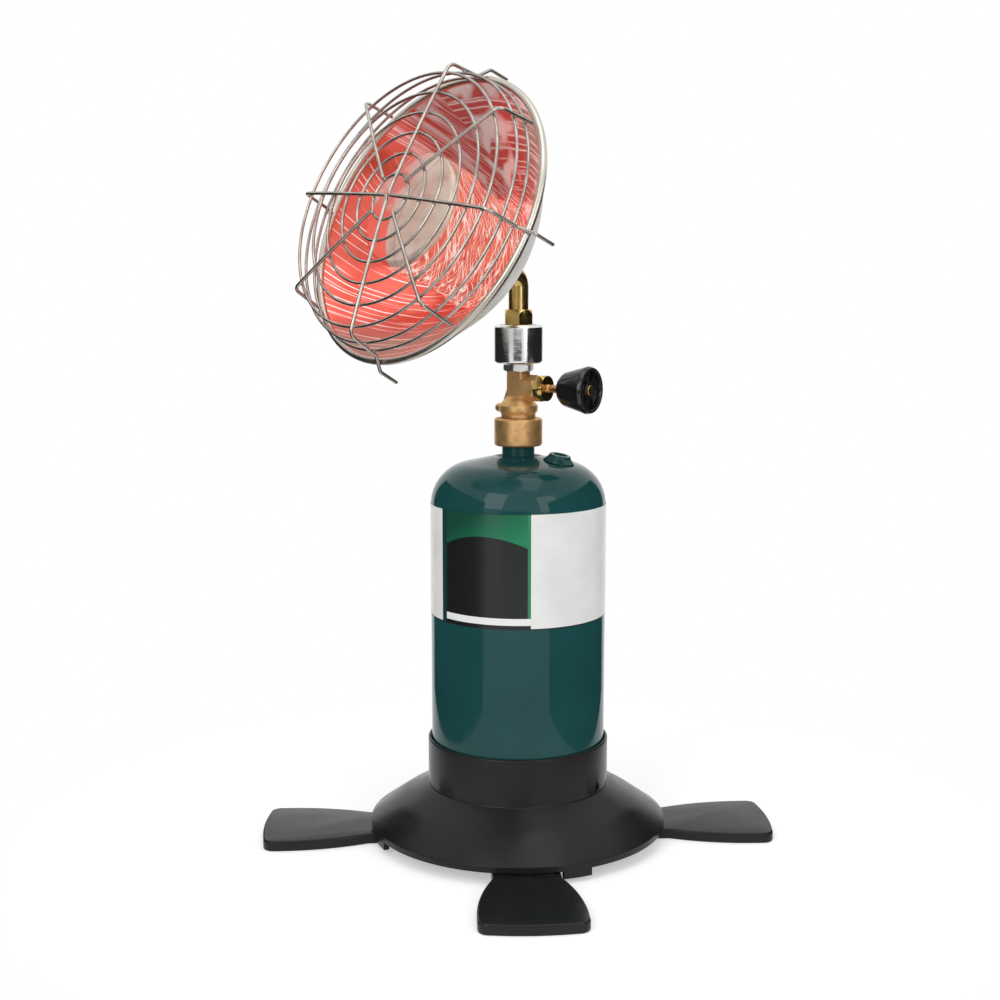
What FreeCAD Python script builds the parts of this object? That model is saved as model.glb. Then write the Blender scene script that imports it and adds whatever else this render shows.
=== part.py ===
import FreeCAD, Part
import math
import os
from FreeCAD import Placement, Rotation, Vector

# A bottle-top propane heater in millimetres, +Z up, the bottle's axis on Z and the floor at Z = 0.
# The dish faces -Y. Every size that can be set by itself has one name below.

# Bottle base
foot_count = 4
base_turn = 3.7             # the loose base stands turned by this much from the diagonals, in degrees
rim_radius = 84.4
rim_low = 6.9
rim_high = 10.6
skirt_wall = 2.4
skirt_bulge = 1.5
collar_wall = 1.6
collar_low = 30.9
collar_top = 58.2
cup_clearance = 0.5
cup_floor_top = 26.6
cup_floor_wall = 2.5
drain_radius = 20.0
rib_count = 8
rib_thickness = 1.8
boss_radius = 6.5
weep_angle = 15.8
weep_radius = 1.9
weep_rise = 3.8
weep_point = 3.7

# Swing-out feet
foot_reach = 146.4
foot_thickness = 6.0
foot_neck = 37.0
foot_width = 56.2
foot_corner = 6.0
foot_edge_round = 1.4
foot_shoulder = 60.0
foot_pivot_radius = 74.0
foot_hub_radius = 9.0
foot_hub_rise = 0.6
foot_clearance = 0.3
stop_gap = 0.7
stop_angle = 11.0
stop_low = 2.6
screw_radius = 2.5
screw_head_radius = 4.6
screw_head_height = 2.4
screw_head_low = 0.8
screw_grip = 6.0

# Gas bottle
bottle_radius = 49.3
bottle_wall = 1.0
bottle_length = 192.5
weld_rise = 28.4
shoulder_drop = 7.5
shoulder_round = 24.0
stand_radius = 35.0
stand_height = 6.5
dimple_radius = 13.5
neck_root_radius = 9.2
neck_root_sink = 3.0
neck_root_length = 8.3
thread_radius = 11.0
thread_length = 10.1
neck_bore = 4.2
label_rise = 103.7
label_height = 62.7
label_thickness = 0.2
relief_angle = 22.0
relief_offset = 24.5
relief_radius = 5.9
relief_flange = 8.8
relief_height = 4.2

# Valve and inlet
inlet_radius = 13.45
inlet_above_root = 0.6
inlet_length = 15.6
inlet_round = 1.6
thread_clearance = 0.08
thread_pitch = 1.27
gasket_thickness = 1.4
seal_slack = 0.3
spigot_radius = 8.0
groove_radius = 9.6
flange_radius = 10.9
groove_length = 1.9
flange_length = 8.3
body_side = 10.0
block_round = 1.0
flare_length = 2.1
body_length = 13.7
gas_bore = 2.5
knob_turn = 13.0            # the spindle points this far round from +X, in degrees
spindle_rise = 4.6
boss_flats = 12.8
boss_reach = 13.4
gland_flats = 14.0
gland_thickness = 5.6
stem_radius = 2.3
stem_bore_clearance = 0.05
knob_start = 28.6
knob_end = 47.2
knob_inner_radius = 7.4
knob_outer_radius = 13.1
knob_recess = 3.2
knob_wall = 1.5
lug_radius = 2.5
lug_reach = 12.5
lug_rise = 3.2
gusset_width = 5.0
gusset_reach = 8.6
gusset_length = 9.0

# Air shroud, mixing tube
jet_flats = 14.6
jet_length = 4.1
jet_spigot_radius = 4.0
shroud_radius = 13.85
shroud_length = 21.7
shroud_wall = 1.0
shroud_round = 2.2
mixer_radius = 6.8
mixer_hex_flats = 15.0
mixer_hex_sink = 1.9
mixer_hex_length = 10.1
air_hole_count = 4
air_hole_radius = 2.4
tube_radius = 5.6
tube_wall = 1.0
tube_bend = 8.0
fit_clearance = 0.05

# Dish and burner, measured along the dish's own axis from its rim plane
dish_tilt = 23.9
rim_centre_y = -68.1
rim_rise = 47.65
dish_radius = 78.4
dish_depth = 53.0
dish_wall = 0.8
dish_steps = 9
bead_radius = 2.0
burner_radius = 29.0
gauze_wall = 0.8
cap_radius = 32.0
cap_front = 12.8
cap_depth = 22.8
cap_wall = 0.8
pan_depth = 4.0

# Wire guard
ring_count = 6
first_ring = 12.7
last_ring = 70.3
guard_height = 25.4
guard_dome = 2.1
spoke_wire = 0.95
ring_wire = 0.8
weld_gap = 0.02
centre_bend = 3.0
spoke_edge = 71.6
spoke_bend = 4.5
side_lean = 9.0
side_ring_heights = (14.6, 7.4)
side_end = 4.0
anchor_kink = 6.9
anchor_bend = 3.0
anchor_splay = 40.0
anchor_splay_run = 6.8
anchor_turn_in = 4.0
anchor_tail = 11.0
anchor_angles = ((81.0, -7.0), (-87.5, -184.1))     # each wire makes two spokes
spoke_angles = (37.2, -49.9, -137.7, -229.9)

cup_radius = bottle_radius + cup_clearance
collar_radius = cup_radius + collar_wall
skirt_middle = (collar_radius + rim_radius) / 2
slope_middle = (collar_low + rim_high) / 2 + skirt_bulge
weep_height = collar_low + weep_rise
dish_back = -dish_depth
foot_high = foot_thickness + foot_hub_rise
weld_height = cup_floor_top + weld_rise
crown_height = cup_floor_top + bottle_length
shoulder_corner = crown_height - shoulder_drop
label_low = cup_floor_top + label_rise
label_high = label_low + label_height
neck_root_low = crown_height - neck_root_sink
neck_root_high = neck_root_low + neck_root_length
neck_top = neck_root_high + thread_length
inlet_low = neck_root_high + inlet_above_root
inlet_high = inlet_low + inlet_length
inlet_roof = neck_top + gasket_thickness + seal_slack
flange_low = inlet_high + groove_length
flange_high = flange_low + flange_length
body_low = flange_high + flare_length
body_high = body_low + body_length
spindle_height = body_low + spindle_rise
jet_high = body_high + jet_length
shroud_high = jet_high + shroud_length
mixer_hex_low = shroud_high - mixer_hex_sink
mixer_high = mixer_hex_low + mixer_hex_length
rim_centre_z = mixer_high + rim_rise


def corner_cut(before, corner, after, rounding):
    """Tangent points and middle of the arc that rounds one corner."""
    towards_before = (before - corner).normalize()
    towards_after = (after - corner).normalize()
    half = towards_before.getAngle(towards_after) / 2
    cut = rounding / math.tan(half)
    bisector = (towards_before + towards_after).normalize()
    middle = corner + bisector * (rounding / math.sin(half) - rounding)
    return corner + towards_before * cut, middle, corner + towards_after * cut


def outline(corners):
    """Closed wire in the XZ plane through (radius, height) or (radius, height, rounding) corners."""
    points = [Vector(corner[0], 0, corner[1]) for corner in corners]
    count = len(points)
    stretches = []
    for index, corner in enumerate(corners):
        here = points[index]
        if len(corner) == 3:
            stretches.append(corner_cut(points[index - 1], here, points[(index + 1) % count], corner[2]))
        else:
            stretches.append((here, None, here))
    edges = []
    for index, (start, middle, stop) in enumerate(stretches):
        if middle is not None:
            edges.append(Part.Arc(start, middle, stop).toShape())
        following = stretches[(index + 1) % count][0]
        if stop.distanceToPoint(following) > 1e-6:
            edges.append(Part.makeLine(stop, following))
    return Part.Wire(edges)


def upright(shape):
    """The same solid with its faces pointing outwards."""
    if shape.Volume < 0:
        shape.reverse()
    return shape


def turned(corners, degrees=360):
    """Solid of revolution about Z."""
    return upright(Part.Face(outline(corners)).revolve(Vector(0, 0, 0), Vector(0, 0, 1), degrees))


def rod(radius, low, high):
    return Part.makeCylinder(radius, high - low, Vector(0, 0, low))


def ring(inner, outer, low, high):
    return turned([(inner, low), (outer, low), (outer, high), (inner, high)])


def hex_bar(flats, low, high, chamfer=0.0):
    """Hexagonal bar with its corners chamfered at both ends, as a nut's are."""
    corner = flats / math.sqrt(3)
    points = [Vector(corner * math.cos(math.radians(60 * step + 30)),
                     corner * math.sin(math.radians(60 * step + 30)), low) for step in range(7)]
    bar = upright(Part.Face(Part.makePolygon(points)).extrude(Vector(0, 0, high - low)))
    if chamfer == 0:
        return bar
    blank = turned([(0, low), (flats / 2, low), (corner, low + chamfer), (corner, high - chamfer),
                    (flats / 2, high), (0, high)])
    return bar.common(blank)


def spun(shape, degrees):
    """Copy of a shape turned about Z."""
    copy = shape.copy()
    copy.rotate(Vector(0, 0, 0), Vector(0, 0, 1), degrees)
    return copy


def on_spindle(shape):
    """Place a shape drawn about Z on the valve's spindle axis, its +Z pointing out to the knob."""
    copy = shape.copy()
    copy.rotate(Vector(0, 0, 0), Vector(0, 1, 0), 90)
    copy.rotate(Vector(0, 0, 0), Vector(0, 0, 1), knob_turn)
    copy.translate(Vector(0, 0, spindle_height))
    return copy


def on_dish(shape):
    """Place a shape drawn about Z on the dish's axis, its +Z pointing out of the dish."""
    copy = shape.copy()
    turn = Rotation(Vector(1, 0, 0), 90 - dish_tilt)
    copy.Placement = Placement(Vector(0, rim_centre_y, rim_centre_z), turn).multiply(copy.Placement)
    return copy


def bent_path(start, heading, steps):
    """Edges of a bent wire in the XZ plane: a step is (length,) or (bend radius, turn in degrees)."""
    place = Vector(start[0], 0, start[1])
    angle = math.radians(heading)
    edges = []
    for step in steps:
        if len(step) == 1:
            stop = place + Vector(math.cos(angle), 0, math.sin(angle)) * step[0]
            edges.append(Part.makeLine(place, stop))
        else:
            radius, turn = step[0], math.radians(step[1])
            side = 1 if turn > 0 else -1
            centre = place + Vector(-math.sin(angle), 0, math.cos(angle)) * radius * side
            arm = place - centre
            halfway = centre + rotated(arm, turn / 2)
            stop = centre + rotated(arm, turn)
            edges.append(Part.Arc(place, halfway, stop).toShape())
            angle += turn
        place = stop
    return edges


def rotated(arm, turn):
    """A vector of the XZ plane turned from X towards Z."""
    return Vector(arm.x * math.cos(turn) - arm.z * math.sin(turn), 0,
                  arm.x * math.sin(turn) + arm.z * math.cos(turn))


def swept(edges, radius):
    """Round wire or bar along a smooth path."""
    path = Part.Wire(edges)
    start = edges[0].valueAt(edges[0].FirstParameter)
    tangent = edges[0].tangentAt(edges[0].FirstParameter)
    section = Part.Wire([Part.makeCircle(radius, start, tangent)])
    return upright(path.makePipeShell([section], True, True))


# Bottle base

def under_skirt():
    """The space below the middle of the skirt's wall, which bosses and ribs fill."""
    half = skirt_wall / 2
    return turned([(0, 0), (rim_radius - half, 0), (rim_radius - half, rim_high - half),
                   (skirt_middle, slope_middle - half), (collar_radius, collar_low - half), (0, collar_low - half)])


def foot_angles():
    return [-45 + base_turn + 360 / foot_count * index for index in range(foot_count)]


def base_body():
    floor_low = cup_floor_top - cup_floor_wall
    skin = turned([
        (drain_radius, cup_floor_top), (cup_radius, cup_floor_top), (cup_radius, collar_top, 0.5),
        (collar_radius, collar_top, 1.0), (collar_radius, collar_low + 0.6, 1.2),
        (skirt_middle, slope_middle, 70), (rim_radius, rim_high, 0.5), (rim_radius, rim_low, 0.5),
        (rim_radius - skirt_wall, rim_low), (rim_radius - skirt_wall, rim_high - skirt_wall * 0.7),
        (skirt_middle, slope_middle - skirt_wall * 1.15, 70), (collar_radius, collar_low - skirt_wall * 1.3),
        (collar_radius, floor_low), (drain_radius, floor_low)])
    space = under_skirt()
    parts = []
    for index in range(rib_count):
        angle = foot_angles()[0] + 22.5 + 360 / rib_count * index
        rib = Part.makeBox(rim_radius, rib_thickness, collar_low,
                           Vector(cup_radius + collar_wall / 2, -rib_thickness / 2, rim_low + 0.6))
        parts.append(spun(rib, angle).common(space))
    for angle in foot_angles():
        boss = rod(boss_radius, foot_high + foot_clearance, collar_low)
        boss.translate(Vector(foot_pivot_radius, 0, 0))
        parts.append(spun(boss, angle).common(space))
        parts.append(foot_stop(angle))
    body = skin.multiFuse(parts)
    for angle in foot_angles():
        hole = rod(screw_radius + fit_clearance, foot_high - 1, foot_high + foot_clearance + screw_grip)
        hole.translate(Vector(foot_pivot_radius, 0, 0))
        body = body.cut(spun(hole, angle))
    return body.cut(weep_hole()).removeSplitter()


def foot_stop(angle):
    """Short wall below the rim that a foot rests against when it is swung out."""
    inner = rim_radius - skirt_wall - 1
    neck_angle = math.degrees(math.asin((foot_neck / 2 + stop_gap) / inner))
    wall = turned([(inner, stop_low), (rim_radius, stop_low, 0.6), (rim_radius, rim_low + 1),
                   (inner, rim_low + 1)], stop_angle)
    return spun(wall, angle + neck_angle)


def weep_hole():
    """Teardrop hole through the cup's wall, just above its floor."""
    drop = Part.makeCylinder(weep_radius, 2 * collar_wall, Vector(cup_radius - collar_wall / 2, 0, weep_height),
                             Vector(1, 0, 0))
    lean = math.acos(weep_radius / weep_point)
    touch_y = weep_radius * math.sin(lean)
    touch_z = weep_height + weep_radius * math.cos(lean)
    start_x = cup_radius - collar_wall / 2
    point = Part.makePolygon([Vector(start_x, -touch_y, touch_z), Vector(start_x, touch_y, touch_z),
                              Vector(start_x, 0, weep_height + weep_point), Vector(start_x, -touch_y, touch_z)])
    return spun(drop.fuse(Part.Face(point).extrude(Vector(2 * collar_wall, 0, 0))), weep_angle)


def foot():
    """One paddle foot, drawn about its own pivot with +X outwards."""
    neck = foot_neck / 2
    half = foot_width / 2
    neck_end = rim_radius + 1.6 - foot_pivot_radius
    bow = ((foot_shoulder - neck_end) ** 2 + (half - neck) ** 2) / (2 * (half - neck))
    quarter = neck_end + (foot_shoulder - neck_end) / 2
    bow_y = half - bow + math.sqrt(bow ** 2 - (foot_shoulder - quarter) ** 2)
    edge_x = math.sqrt(foot_reach ** 2 - half ** 2) - foot_pivot_radius
    corner = Vector(edge_x, half, 0)
    tip = Vector(foot_reach - foot_pivot_radius, 0, 0)
    start, middle, stop = corner_cut(Vector(foot_shoulder, half, 0), corner,
                                     Vector(edge_x + half / foot_reach * half, 0, 0), foot_corner)
    def side(sign):
        def at(point):
            return Vector(point.x, point.y * sign, 0)
        shoulder = Vector(foot_shoulder, half, 0)
        neck_start = Vector(neck_end, neck, 0)
        return [
            Part.makeLine(at(Vector(0, neck, 0)), at(neck_start)),
            Part.Arc(at(neck_start), at(Vector(quarter, bow_y, 0)), at(shoulder)).toShape(),
            Part.makeLine(at(shoulder), at(start)),
            Part.Arc(at(start), at(middle), at(stop)).toShape()]

    front = Part.Arc(stop, tip, Vector(stop.x, -stop.y, 0)).toShape()
    back = Part.Arc(Vector(0, neck, 0), Vector(-neck, 0, 0), Vector(0, -neck, 0)).toShape()
    edges = Part.__sortEdges__(side(1) + side(-1) + [front, back])
    plate = upright(Part.Face(Part.Wire(edges)).extrude(Vector(0, 0, foot_thickness)))
    outer_top = [edge for edge in plate.Edges
                 if edge.BoundBox.ZMin > foot_thickness - 0.01 and edge.BoundBox.XMax > neck_end + 1]
    plate = plate.makeFillet(foot_edge_round, outer_top).Solids[0]
    plate = plate.fuse(rod(foot_hub_radius, foot_thickness - 0.5, foot_high))
    plate = plate.cut(rod(screw_radius + fit_clearance, -1, foot_high + 1))
    return plate.cut(rod(screw_head_radius + foot_clearance, -1, screw_head_low + screw_head_height + fit_clearance))


def foot_at(angle):
    shape = foot()
    shape.translate(Vector(foot_pivot_radius, 0, 0))
    return spun(shape, angle)


def foot_screws():
    """Shoulder screws that the feet turn on, one below each boss."""
    head_high = screw_head_low + screw_head_height
    top = foot_high + foot_clearance + screw_grip - 0.5
    screw = turned([(0, screw_head_low), (screw_head_radius, screw_head_low, 0.8),
                    (screw_head_radius, head_high), (screw_radius, head_high), (screw_radius, top, 0.6), (0, top)])
    slot = Part.makeBox(2 * screw_head_radius, 1.2, 1.2,
                        Vector(-screw_head_radius, -0.6, screw_head_low - 0.2))
    screw = screw.cut(slot)
    screws = []
    for angle in foot_angles():
        copy = screw.copy()
        copy.translate(Vector(foot_pivot_radius, 0, 0))
        screws.append(spun(copy, angle))
    return Part.makeCompound(screws)


# Gas bottle

def bottle_upper_shell():
    inner = bottle_radius - bottle_wall
    return turned([
        (bottle_radius, weld_height), (bottle_radius, shoulder_corner, shoulder_round),
        (dimple_radius, crown_height, 1.0), (neck_root_radius, crown_height - 2),
        (neck_root_radius, crown_height - 2 - bottle_wall), (dimple_radius, crown_height - bottle_wall, 1.0),
        (inner, shoulder_corner - bottle_wall, shoulder_round - bottle_wall), (inner, weld_height)])


def bottle_lower_shell():
    inner = bottle_radius - bottle_wall
    low = cup_floor_top
    high = cup_floor_top + bottle_wall
    return turned([
        (bottle_radius, weld_height), (bottle_radius, low, 9), (stand_radius, low, 3),
        (stand_radius * 0.8, low + stand_height * 0.77, 4), (0, low + stand_height), (0, high + stand_height),
        (stand_radius * 0.79, high + stand_height * 0.77, 4), (stand_radius - 0.4, high, 3), (inner, high, 8),
        (inner, weld_height)])


def bottle_neck():
    """Valve neck: a narrow root through the crown and the wider threaded top."""
    return turned([
        (neck_bore, neck_root_low - 3), (neck_root_radius + 3, neck_root_low - 3),
        (neck_root_radius + 3, neck_root_low - 0.4, 1.0), (neck_root_radius - 0.02, neck_root_low),
        (neck_root_radius - 0.02, neck_root_high), (thread_radius, neck_root_high + 0.8),
        (thread_radius, neck_top, 0.6), (neck_bore, neck_top)])


def valve_core():
    """Spring-loaded core in the neck, with the pin that the heater pushes down."""
    outer = neck_bore - fit_clearance
    return turned([(0, neck_root_low), (outer, neck_root_low), (outer, neck_top - 4, 0.5),
                   (0.9, neck_top - 4), (0.9, neck_top - 2.6), (0, neck_top - 2.6)])


def label_wrap():
    inner = bottle_radius + 0.05
    return ring(inner, inner + label_thickness, label_low, label_high)


def relief_seat():
    """Height and lean of the crown where the relief valve stands."""
    fall = (crown_height - shoulder_corner) / (bottle_radius - dimple_radius)
    return crown_height - fall * (relief_offset - dimple_radius), math.degrees(math.atan(fall))


def relief_valve():
    height, lean = relief_seat()
    body = turned([(0, 0), (relief_flange, 0), (relief_flange, 0.5, 0.3), (relief_radius + 0.5, 2.6, 2.0),
                   (relief_radius, relief_height, 0.8), (relief_radius - 2, relief_height),
                   (relief_radius - 2, relief_height - 0.9), (0, relief_height - 0.9)])
    body.rotate(Vector(0, 0, 0), Vector(0, 1, 0), lean)
    body.translate(Vector(relief_offset, 0, height + 0.02))
    return spun(body, relief_angle)


# Inlet and valve

def inlet_collar():
    bore = thread_radius + thread_clearance
    return turned([
        (bore, inlet_low, 0.4), (inlet_radius, inlet_low, inlet_round), (inlet_radius, inlet_high, inlet_round),
        (spigot_radius + fit_clearance, inlet_high), (spigot_radius + fit_clearance, inlet_roof),
        (bore, inlet_roof)])


def inlet_seal():
    low = neck_top + 0.05
    return ring(gas_bore + 1.5, thread_radius - 0.4, low, low + gasket_thickness)


def depressor_pin():
    return turned([(0, neck_top - 2.4), (1.0, neck_top - 2.4, 0.4), (1.0, inlet_roof + 2),
                   (gas_bore - fit_clearance, inlet_roof + 2), (gas_bore - fit_clearance, inlet_roof + 4),
                   (0, inlet_roof + 4)])


def rounded_square(side, height, rounding):
    half = side / 2
    points = [(half, half), (-half, half), (-half, -half), (half, -half)]
    edges = []
    cuts = []
    for index, (x, y) in enumerate(points):
        before = points[index - 1]
        after = points[(index + 1) % 4]
        cuts.append(corner_cut(Vector(before[0], before[1], height), Vector(x, y, height),
                               Vector(after[0], after[1], height), rounding))
    for index, (start, middle, stop) in enumerate(cuts):
        edges.append(Part.Arc(start, middle, stop).toShape())
        edges.append(Part.makeLine(stop, cuts[(index + 1) % 4][0]))
    return Part.Wire(edges)


def round_section(radius, height):
    """Circle in eight arcs, so that it lofts evenly to a rounded square."""
    edges = []
    flat_end = math.degrees(math.atan(1 - 2 * block_round / body_side))
    marks = []
    for quarter in range(4):
        marks += [quarter * 90 + flat_end, quarter * 90 + 90 - flat_end]
    marks.append(marks[0] + 360)
    for start, stop in zip(marks, marks[1:]):
        points = [Vector(radius * math.cos(math.radians(angle)), radius * math.sin(math.radians(angle)), height)
                  for angle in (start, (start + stop) / 2, stop)]
        edges.append(Part.Arc(*points).toShape())
    return Part.Wire(edges)


def valve_body():
    """Brass body: round flange below, flaring to a square block with the spindle's boss on one side."""
    lower = turned([
        (0, inlet_roof), (spigot_radius, inlet_roof), (spigot_radius, inlet_high + 0.1),
        (groove_radius, inlet_high + 0.1), (groove_radius, flange_low), (flange_radius, flange_low + 2.2, 0.8),
        (flange_radius, flange_high - 3.4, 1.2), (groove_radius - 1.6, flange_high), (0, flange_high)])
    flare = Part.makeLoft([round_section(groove_radius - 1.7, flange_high - 0.2),
                           rounded_square(body_side, body_low, block_round)], True)
    block = upright(Part.Face(rounded_square(body_side, body_low - 0.1, block_round)).extrude(
        Vector(0, 0, body_high - body_low + 0.1)))
    square = spun(upright(flare).fuse(block), knob_turn)
    boss = on_spindle(spun(hex_bar(boss_flats, body_side / 2 - 0.4, boss_reach, 0.9), 30))
    neck = on_spindle(rod(gland_flats / 2 - 2.0, boss_reach - 0.5, boss_reach + gland_thickness - 1.2))
    lug_height = flange_low + lug_rise
    lug = Part.makeCylinder(lug_radius, lug_reach, Vector(0, 0, lug_height), Vector(-1, 0, 0))
    lug_end = Part.makeSphere(lug_radius, Vector(-lug_reach, 0, lug_height))
    gusset = Part.makePolygon([Vector(x, gusset_width / 2, z) for x, z in (
        (0, flange_high - 1), (-gusset_reach, flange_high - 1), (-body_side / 2, flange_high + gusset_length),
        (0, flange_high + gusset_length), (0, flange_high - 1))])
    gusset = upright(Part.Face(gusset).extrude(Vector(0, -gusset_width, 0)))
    side_parts = [spun(shape, knob_turn) for shape in (lug, lug_end, gusset)]
    body = lower.multiFuse([square, boss, neck] + side_parts)
    body = body.cut(rod(gas_bore, inlet_roof - 1, body_high + 1))
    body = body.cut(on_spindle(rod(stem_radius + stem_bore_clearance, 0, knob_end)))
    return body.removeSplitter()


def gland_nut():
    start = boss_reach + 0.05
    stop = start + gland_thickness
    nut = hex_bar(gland_flats, start, stop, 1.6)
    nut = nut.cut(rod(gland_flats / 2 - 2.0 + fit_clearance, start - 1, stop - 1.0))
    return on_spindle(nut.cut(rod(stem_radius + stem_bore_clearance, start, stop + 1)))


def valve_stem():
    """Spindle with its needle end inside the body and a flatted end in the knob."""
    tip = gas_bore + 0.4
    shaft = turned([(0, tip), (0.6, tip), (stem_radius, tip + 3), (stem_radius, knob_end - knob_recess - 3.5, 0.4),
                    (0, knob_end - knob_recess - 3.5)])
    return on_spindle(shaft)


def control_knob():
    """Tapered knob, widest at its outer end, with a ribbed recess round the screw."""
    floor = knob_end - knob_recess
    shell = turned([
        (stem_radius + fit_clearance, knob_start), (knob_inner_radius, knob_start, 1.6),
        (knob_inner_radius + 2.0, knob_start + 2.6, 2.5), (knob_outer_radius, knob_end - 2.2, 1.5),
        (knob_outer_radius - 0.8, knob_end, 0.7), (knob_outer_radius - 0.8 - knob_wall, knob_end, 0.4),
        (knob_outer_radius - 1.6 - knob_wall, floor), (stem_radius + 2.4, floor), (stem_radius + 2.4, knob_end - 1.6),
        (1.6, knob_end - 1.6), (1.6, floor - 3.4), (stem_radius + fit_clearance, floor - 3.4)])
    ribs = []
    for index in range(6):
        rib = Part.makeBox(knob_outer_radius - knob_wall - stem_radius - 3.4, 1.0, knob_recess - 1.2,
                           Vector(stem_radius + 2.0, -0.5, floor - 0.1))
        ribs.append(spun(rib, 60 * index + 30))
    return on_spindle(shell.multiFuse(ribs).removeSplitter())


def knob_screw():
    top = knob_end - 1.6
    screw = turned([(0, top - 5), (1.5, top - 5), (1.5, top + 0.02), (2.9, top + 0.02), (2.9, top + 0.9, 0.5),
                    (0, top + 1.4)])
    slot = Part.makeBox(6, 0.7, 0.9, Vector(-3, -0.35, top + 0.8))
    return on_spindle(screw.cut(slot).cut(spun(slot, 90)))


# Jet, shroud and mixing tube

def jet_fitting():
    """Plated hexagon between the valve and the shroud, with the spigot that carries the jet."""
    fitting = hex_bar(jet_flats, body_high, jet_high, 0.7)
    fitting = fitting.fuse(rod(jet_spigot_radius, jet_high - 0.5, jet_high + 6.0))
    fitting = spun(fitting, knob_turn + 12)
    return fitting.cut(rod(gas_bore, body_high - 1, jet_high + 8))


def gas_jet():
    low = jet_high + 2.0
    outer = gas_bore - fit_clearance
    return turned([(0.4, low), (outer, low), (outer, jet_high + 6.05), (3.2, jet_high + 6.05),
                   (3.2, jet_high + 7.4, 0.4), (1.4, jet_high + 8.6), (0.4, jet_high + 8.6)])


def air_shroud():
    """Drawn cup with a turned-in lip, open round the mixing tube for the burner's air."""
    low = jet_high
    inner = shroud_radius - shroud_wall
    bore = jet_spigot_radius + fit_clearance
    return turned([
        (bore, low), (shroud_radius, low, shroud_round), (shroud_radius, shroud_high, shroud_round),
        (shroud_radius - 3.0, shroud_high), (shroud_radius - 3.0, shroud_high - shroud_wall),
        (inner, shroud_high - shroud_wall, shroud_round - shroud_wall),
        (inner, low + shroud_wall, shroud_round - shroud_wall), (bore, low + shroud_wall)])


def mixer_body():
    """Brass mixing chamber: air holes inside the shroud, a spanner hexagon above it."""
    low = jet_high + shroud_wall
    barrel = rod(mixer_radius, low, mixer_hex_low + 1)
    body = barrel.fuse(spun(hex_bar(mixer_hex_flats, mixer_hex_low, mixer_high, 1.8), knob_turn - 25))
    body = body.cut(rod(jet_spigot_radius + fit_clearance, low - 1, mixer_hex_low))
    body = body.cut(rod(tube_radius - tube_wall, mixer_hex_low - 1, mixer_high + 1))
    body = body.cut(rod(tube_radius + fit_clearance, mixer_high - 6, mixer_high + 1))
    for index in range(air_hole_count):
        hole = Part.makeCylinder(air_hole_radius, mixer_radius * 2, Vector(0, 0, low + 11), Vector(1, 0, 0))
        body = body.cut(spun(hole, 360 / air_hole_count * index + knob_turn))
    return body.removeSplitter()


def axis_crossing():
    """Height where the dish's axis meets the bottle's, and the distance from there to the rim plane."""
    tilt = math.radians(dish_tilt)
    distance = -rim_centre_y / math.cos(tilt)
    return rim_centre_z - distance * math.sin(tilt), distance


def tube_path():
    crossing, distance = axis_crossing()
    turn = 90 - dish_tilt
    tangent = tube_bend * math.tan(math.radians(turn / 2))
    start = mixer_high - 6 + 0.05
    straight = crossing - tangent - start
    run = distance - tangent + dish_back + pan_depth
    return bent_path((0, start), 90, [(straight,), (tube_bend, -turn), (run,)])


def burner_tube():
    """Bent brass pipe that carries the burner and the dish."""
    pipe = swept(tube_path(), tube_radius).cut(swept(tube_path(), tube_radius - tube_wall))
    pipe.rotate(Vector(0, 0, 0), Vector(0, 0, 1), -90)
    return pipe


# Dish and burner

def dish_height(radius):
    """Height of the dish's inner skin at a radius: a paraboloid, zero at the rim."""
    return -dish_depth * (1 - (radius / dish_radius) ** 2)


def reflector_bowl():
    hole = tube_radius + fit_clearance
    radii = [hole + (dish_radius - hole) * step / dish_steps for step in range(dish_steps + 1)]
    inner = Part.BSplineCurve()
    inner.interpolate([Vector(radius, 0, dish_height(radius)) for radius in radii])
    outer = Part.BSplineCurve()
    outer.interpolate([Vector(radius, 0, dish_height(radius) - dish_wall * skin_slope(radius)) for radius in radii])
    skins = [inner.toShape(), outer.toShape()]
    edge = Part.makeLine(skins[0].valueAt(skins[0].LastParameter), skins[1].valueAt(skins[1].LastParameter))
    root = Part.makeLine(skins[0].valueAt(skins[0].FirstParameter), skins[1].valueAt(skins[1].FirstParameter))
    wire = Part.Wire(Part.__sortEdges__([skins[0], skins[1], edge, root]))
    bowl = upright(Part.Face(wire).revolve(Vector(0, 0, 0), Vector(0, 0, 1), 360))
    return on_dish(bowl)


def skin_slope(radius):
    """Length of the skin per unit of radius, which keeps its wall even."""
    return math.hypot(1, 2 * dish_depth * radius / dish_radius ** 2)


def reflector_rim():
    """Rolled bead round the dish's edge."""
    centre = dish_radius + 1.0
    bead = Part.makeTorus(centre, bead_radius)
    groove = turned([(dish_radius - 2.2, -4), (dish_radius + 0.05, -4), (dish_radius + 0.05, 0.3),
                     (dish_radius - 2.2, 0.3)])
    return on_dish(bead.cut(groove))


def burner_pan():
    """Shallow steel pan at the dish's centre that holds the gauze."""
    low = dish_height(burner_radius + 2) + 0.3
    hole = tube_radius + fit_clearance
    return on_dish(turned([
        (hole, low), (burner_radius + 2, low, 0.6), (burner_radius + 2, low + 3), (burner_radius + 1.2, low + 3),
        (burner_radius + 1.2, low + 0.8), (hole, low + 0.8)]))


def burner_gauze():
    """Wire-gauze cylinder that glows, between the pan and the cap."""
    low = dish_height(burner_radius + 2) + 1.15
    high = cap_front - cap_depth + 6
    return on_dish(turned([
        (burner_radius - gauze_wall, low), (burner_radius, low), (burner_radius + 0.6, (low + high) / 2, 60),
        (burner_radius, high), (burner_radius - gauze_wall, high),
        (burner_radius + 0.6 - gauze_wall, (low + high) / 2, 60)]))


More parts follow.
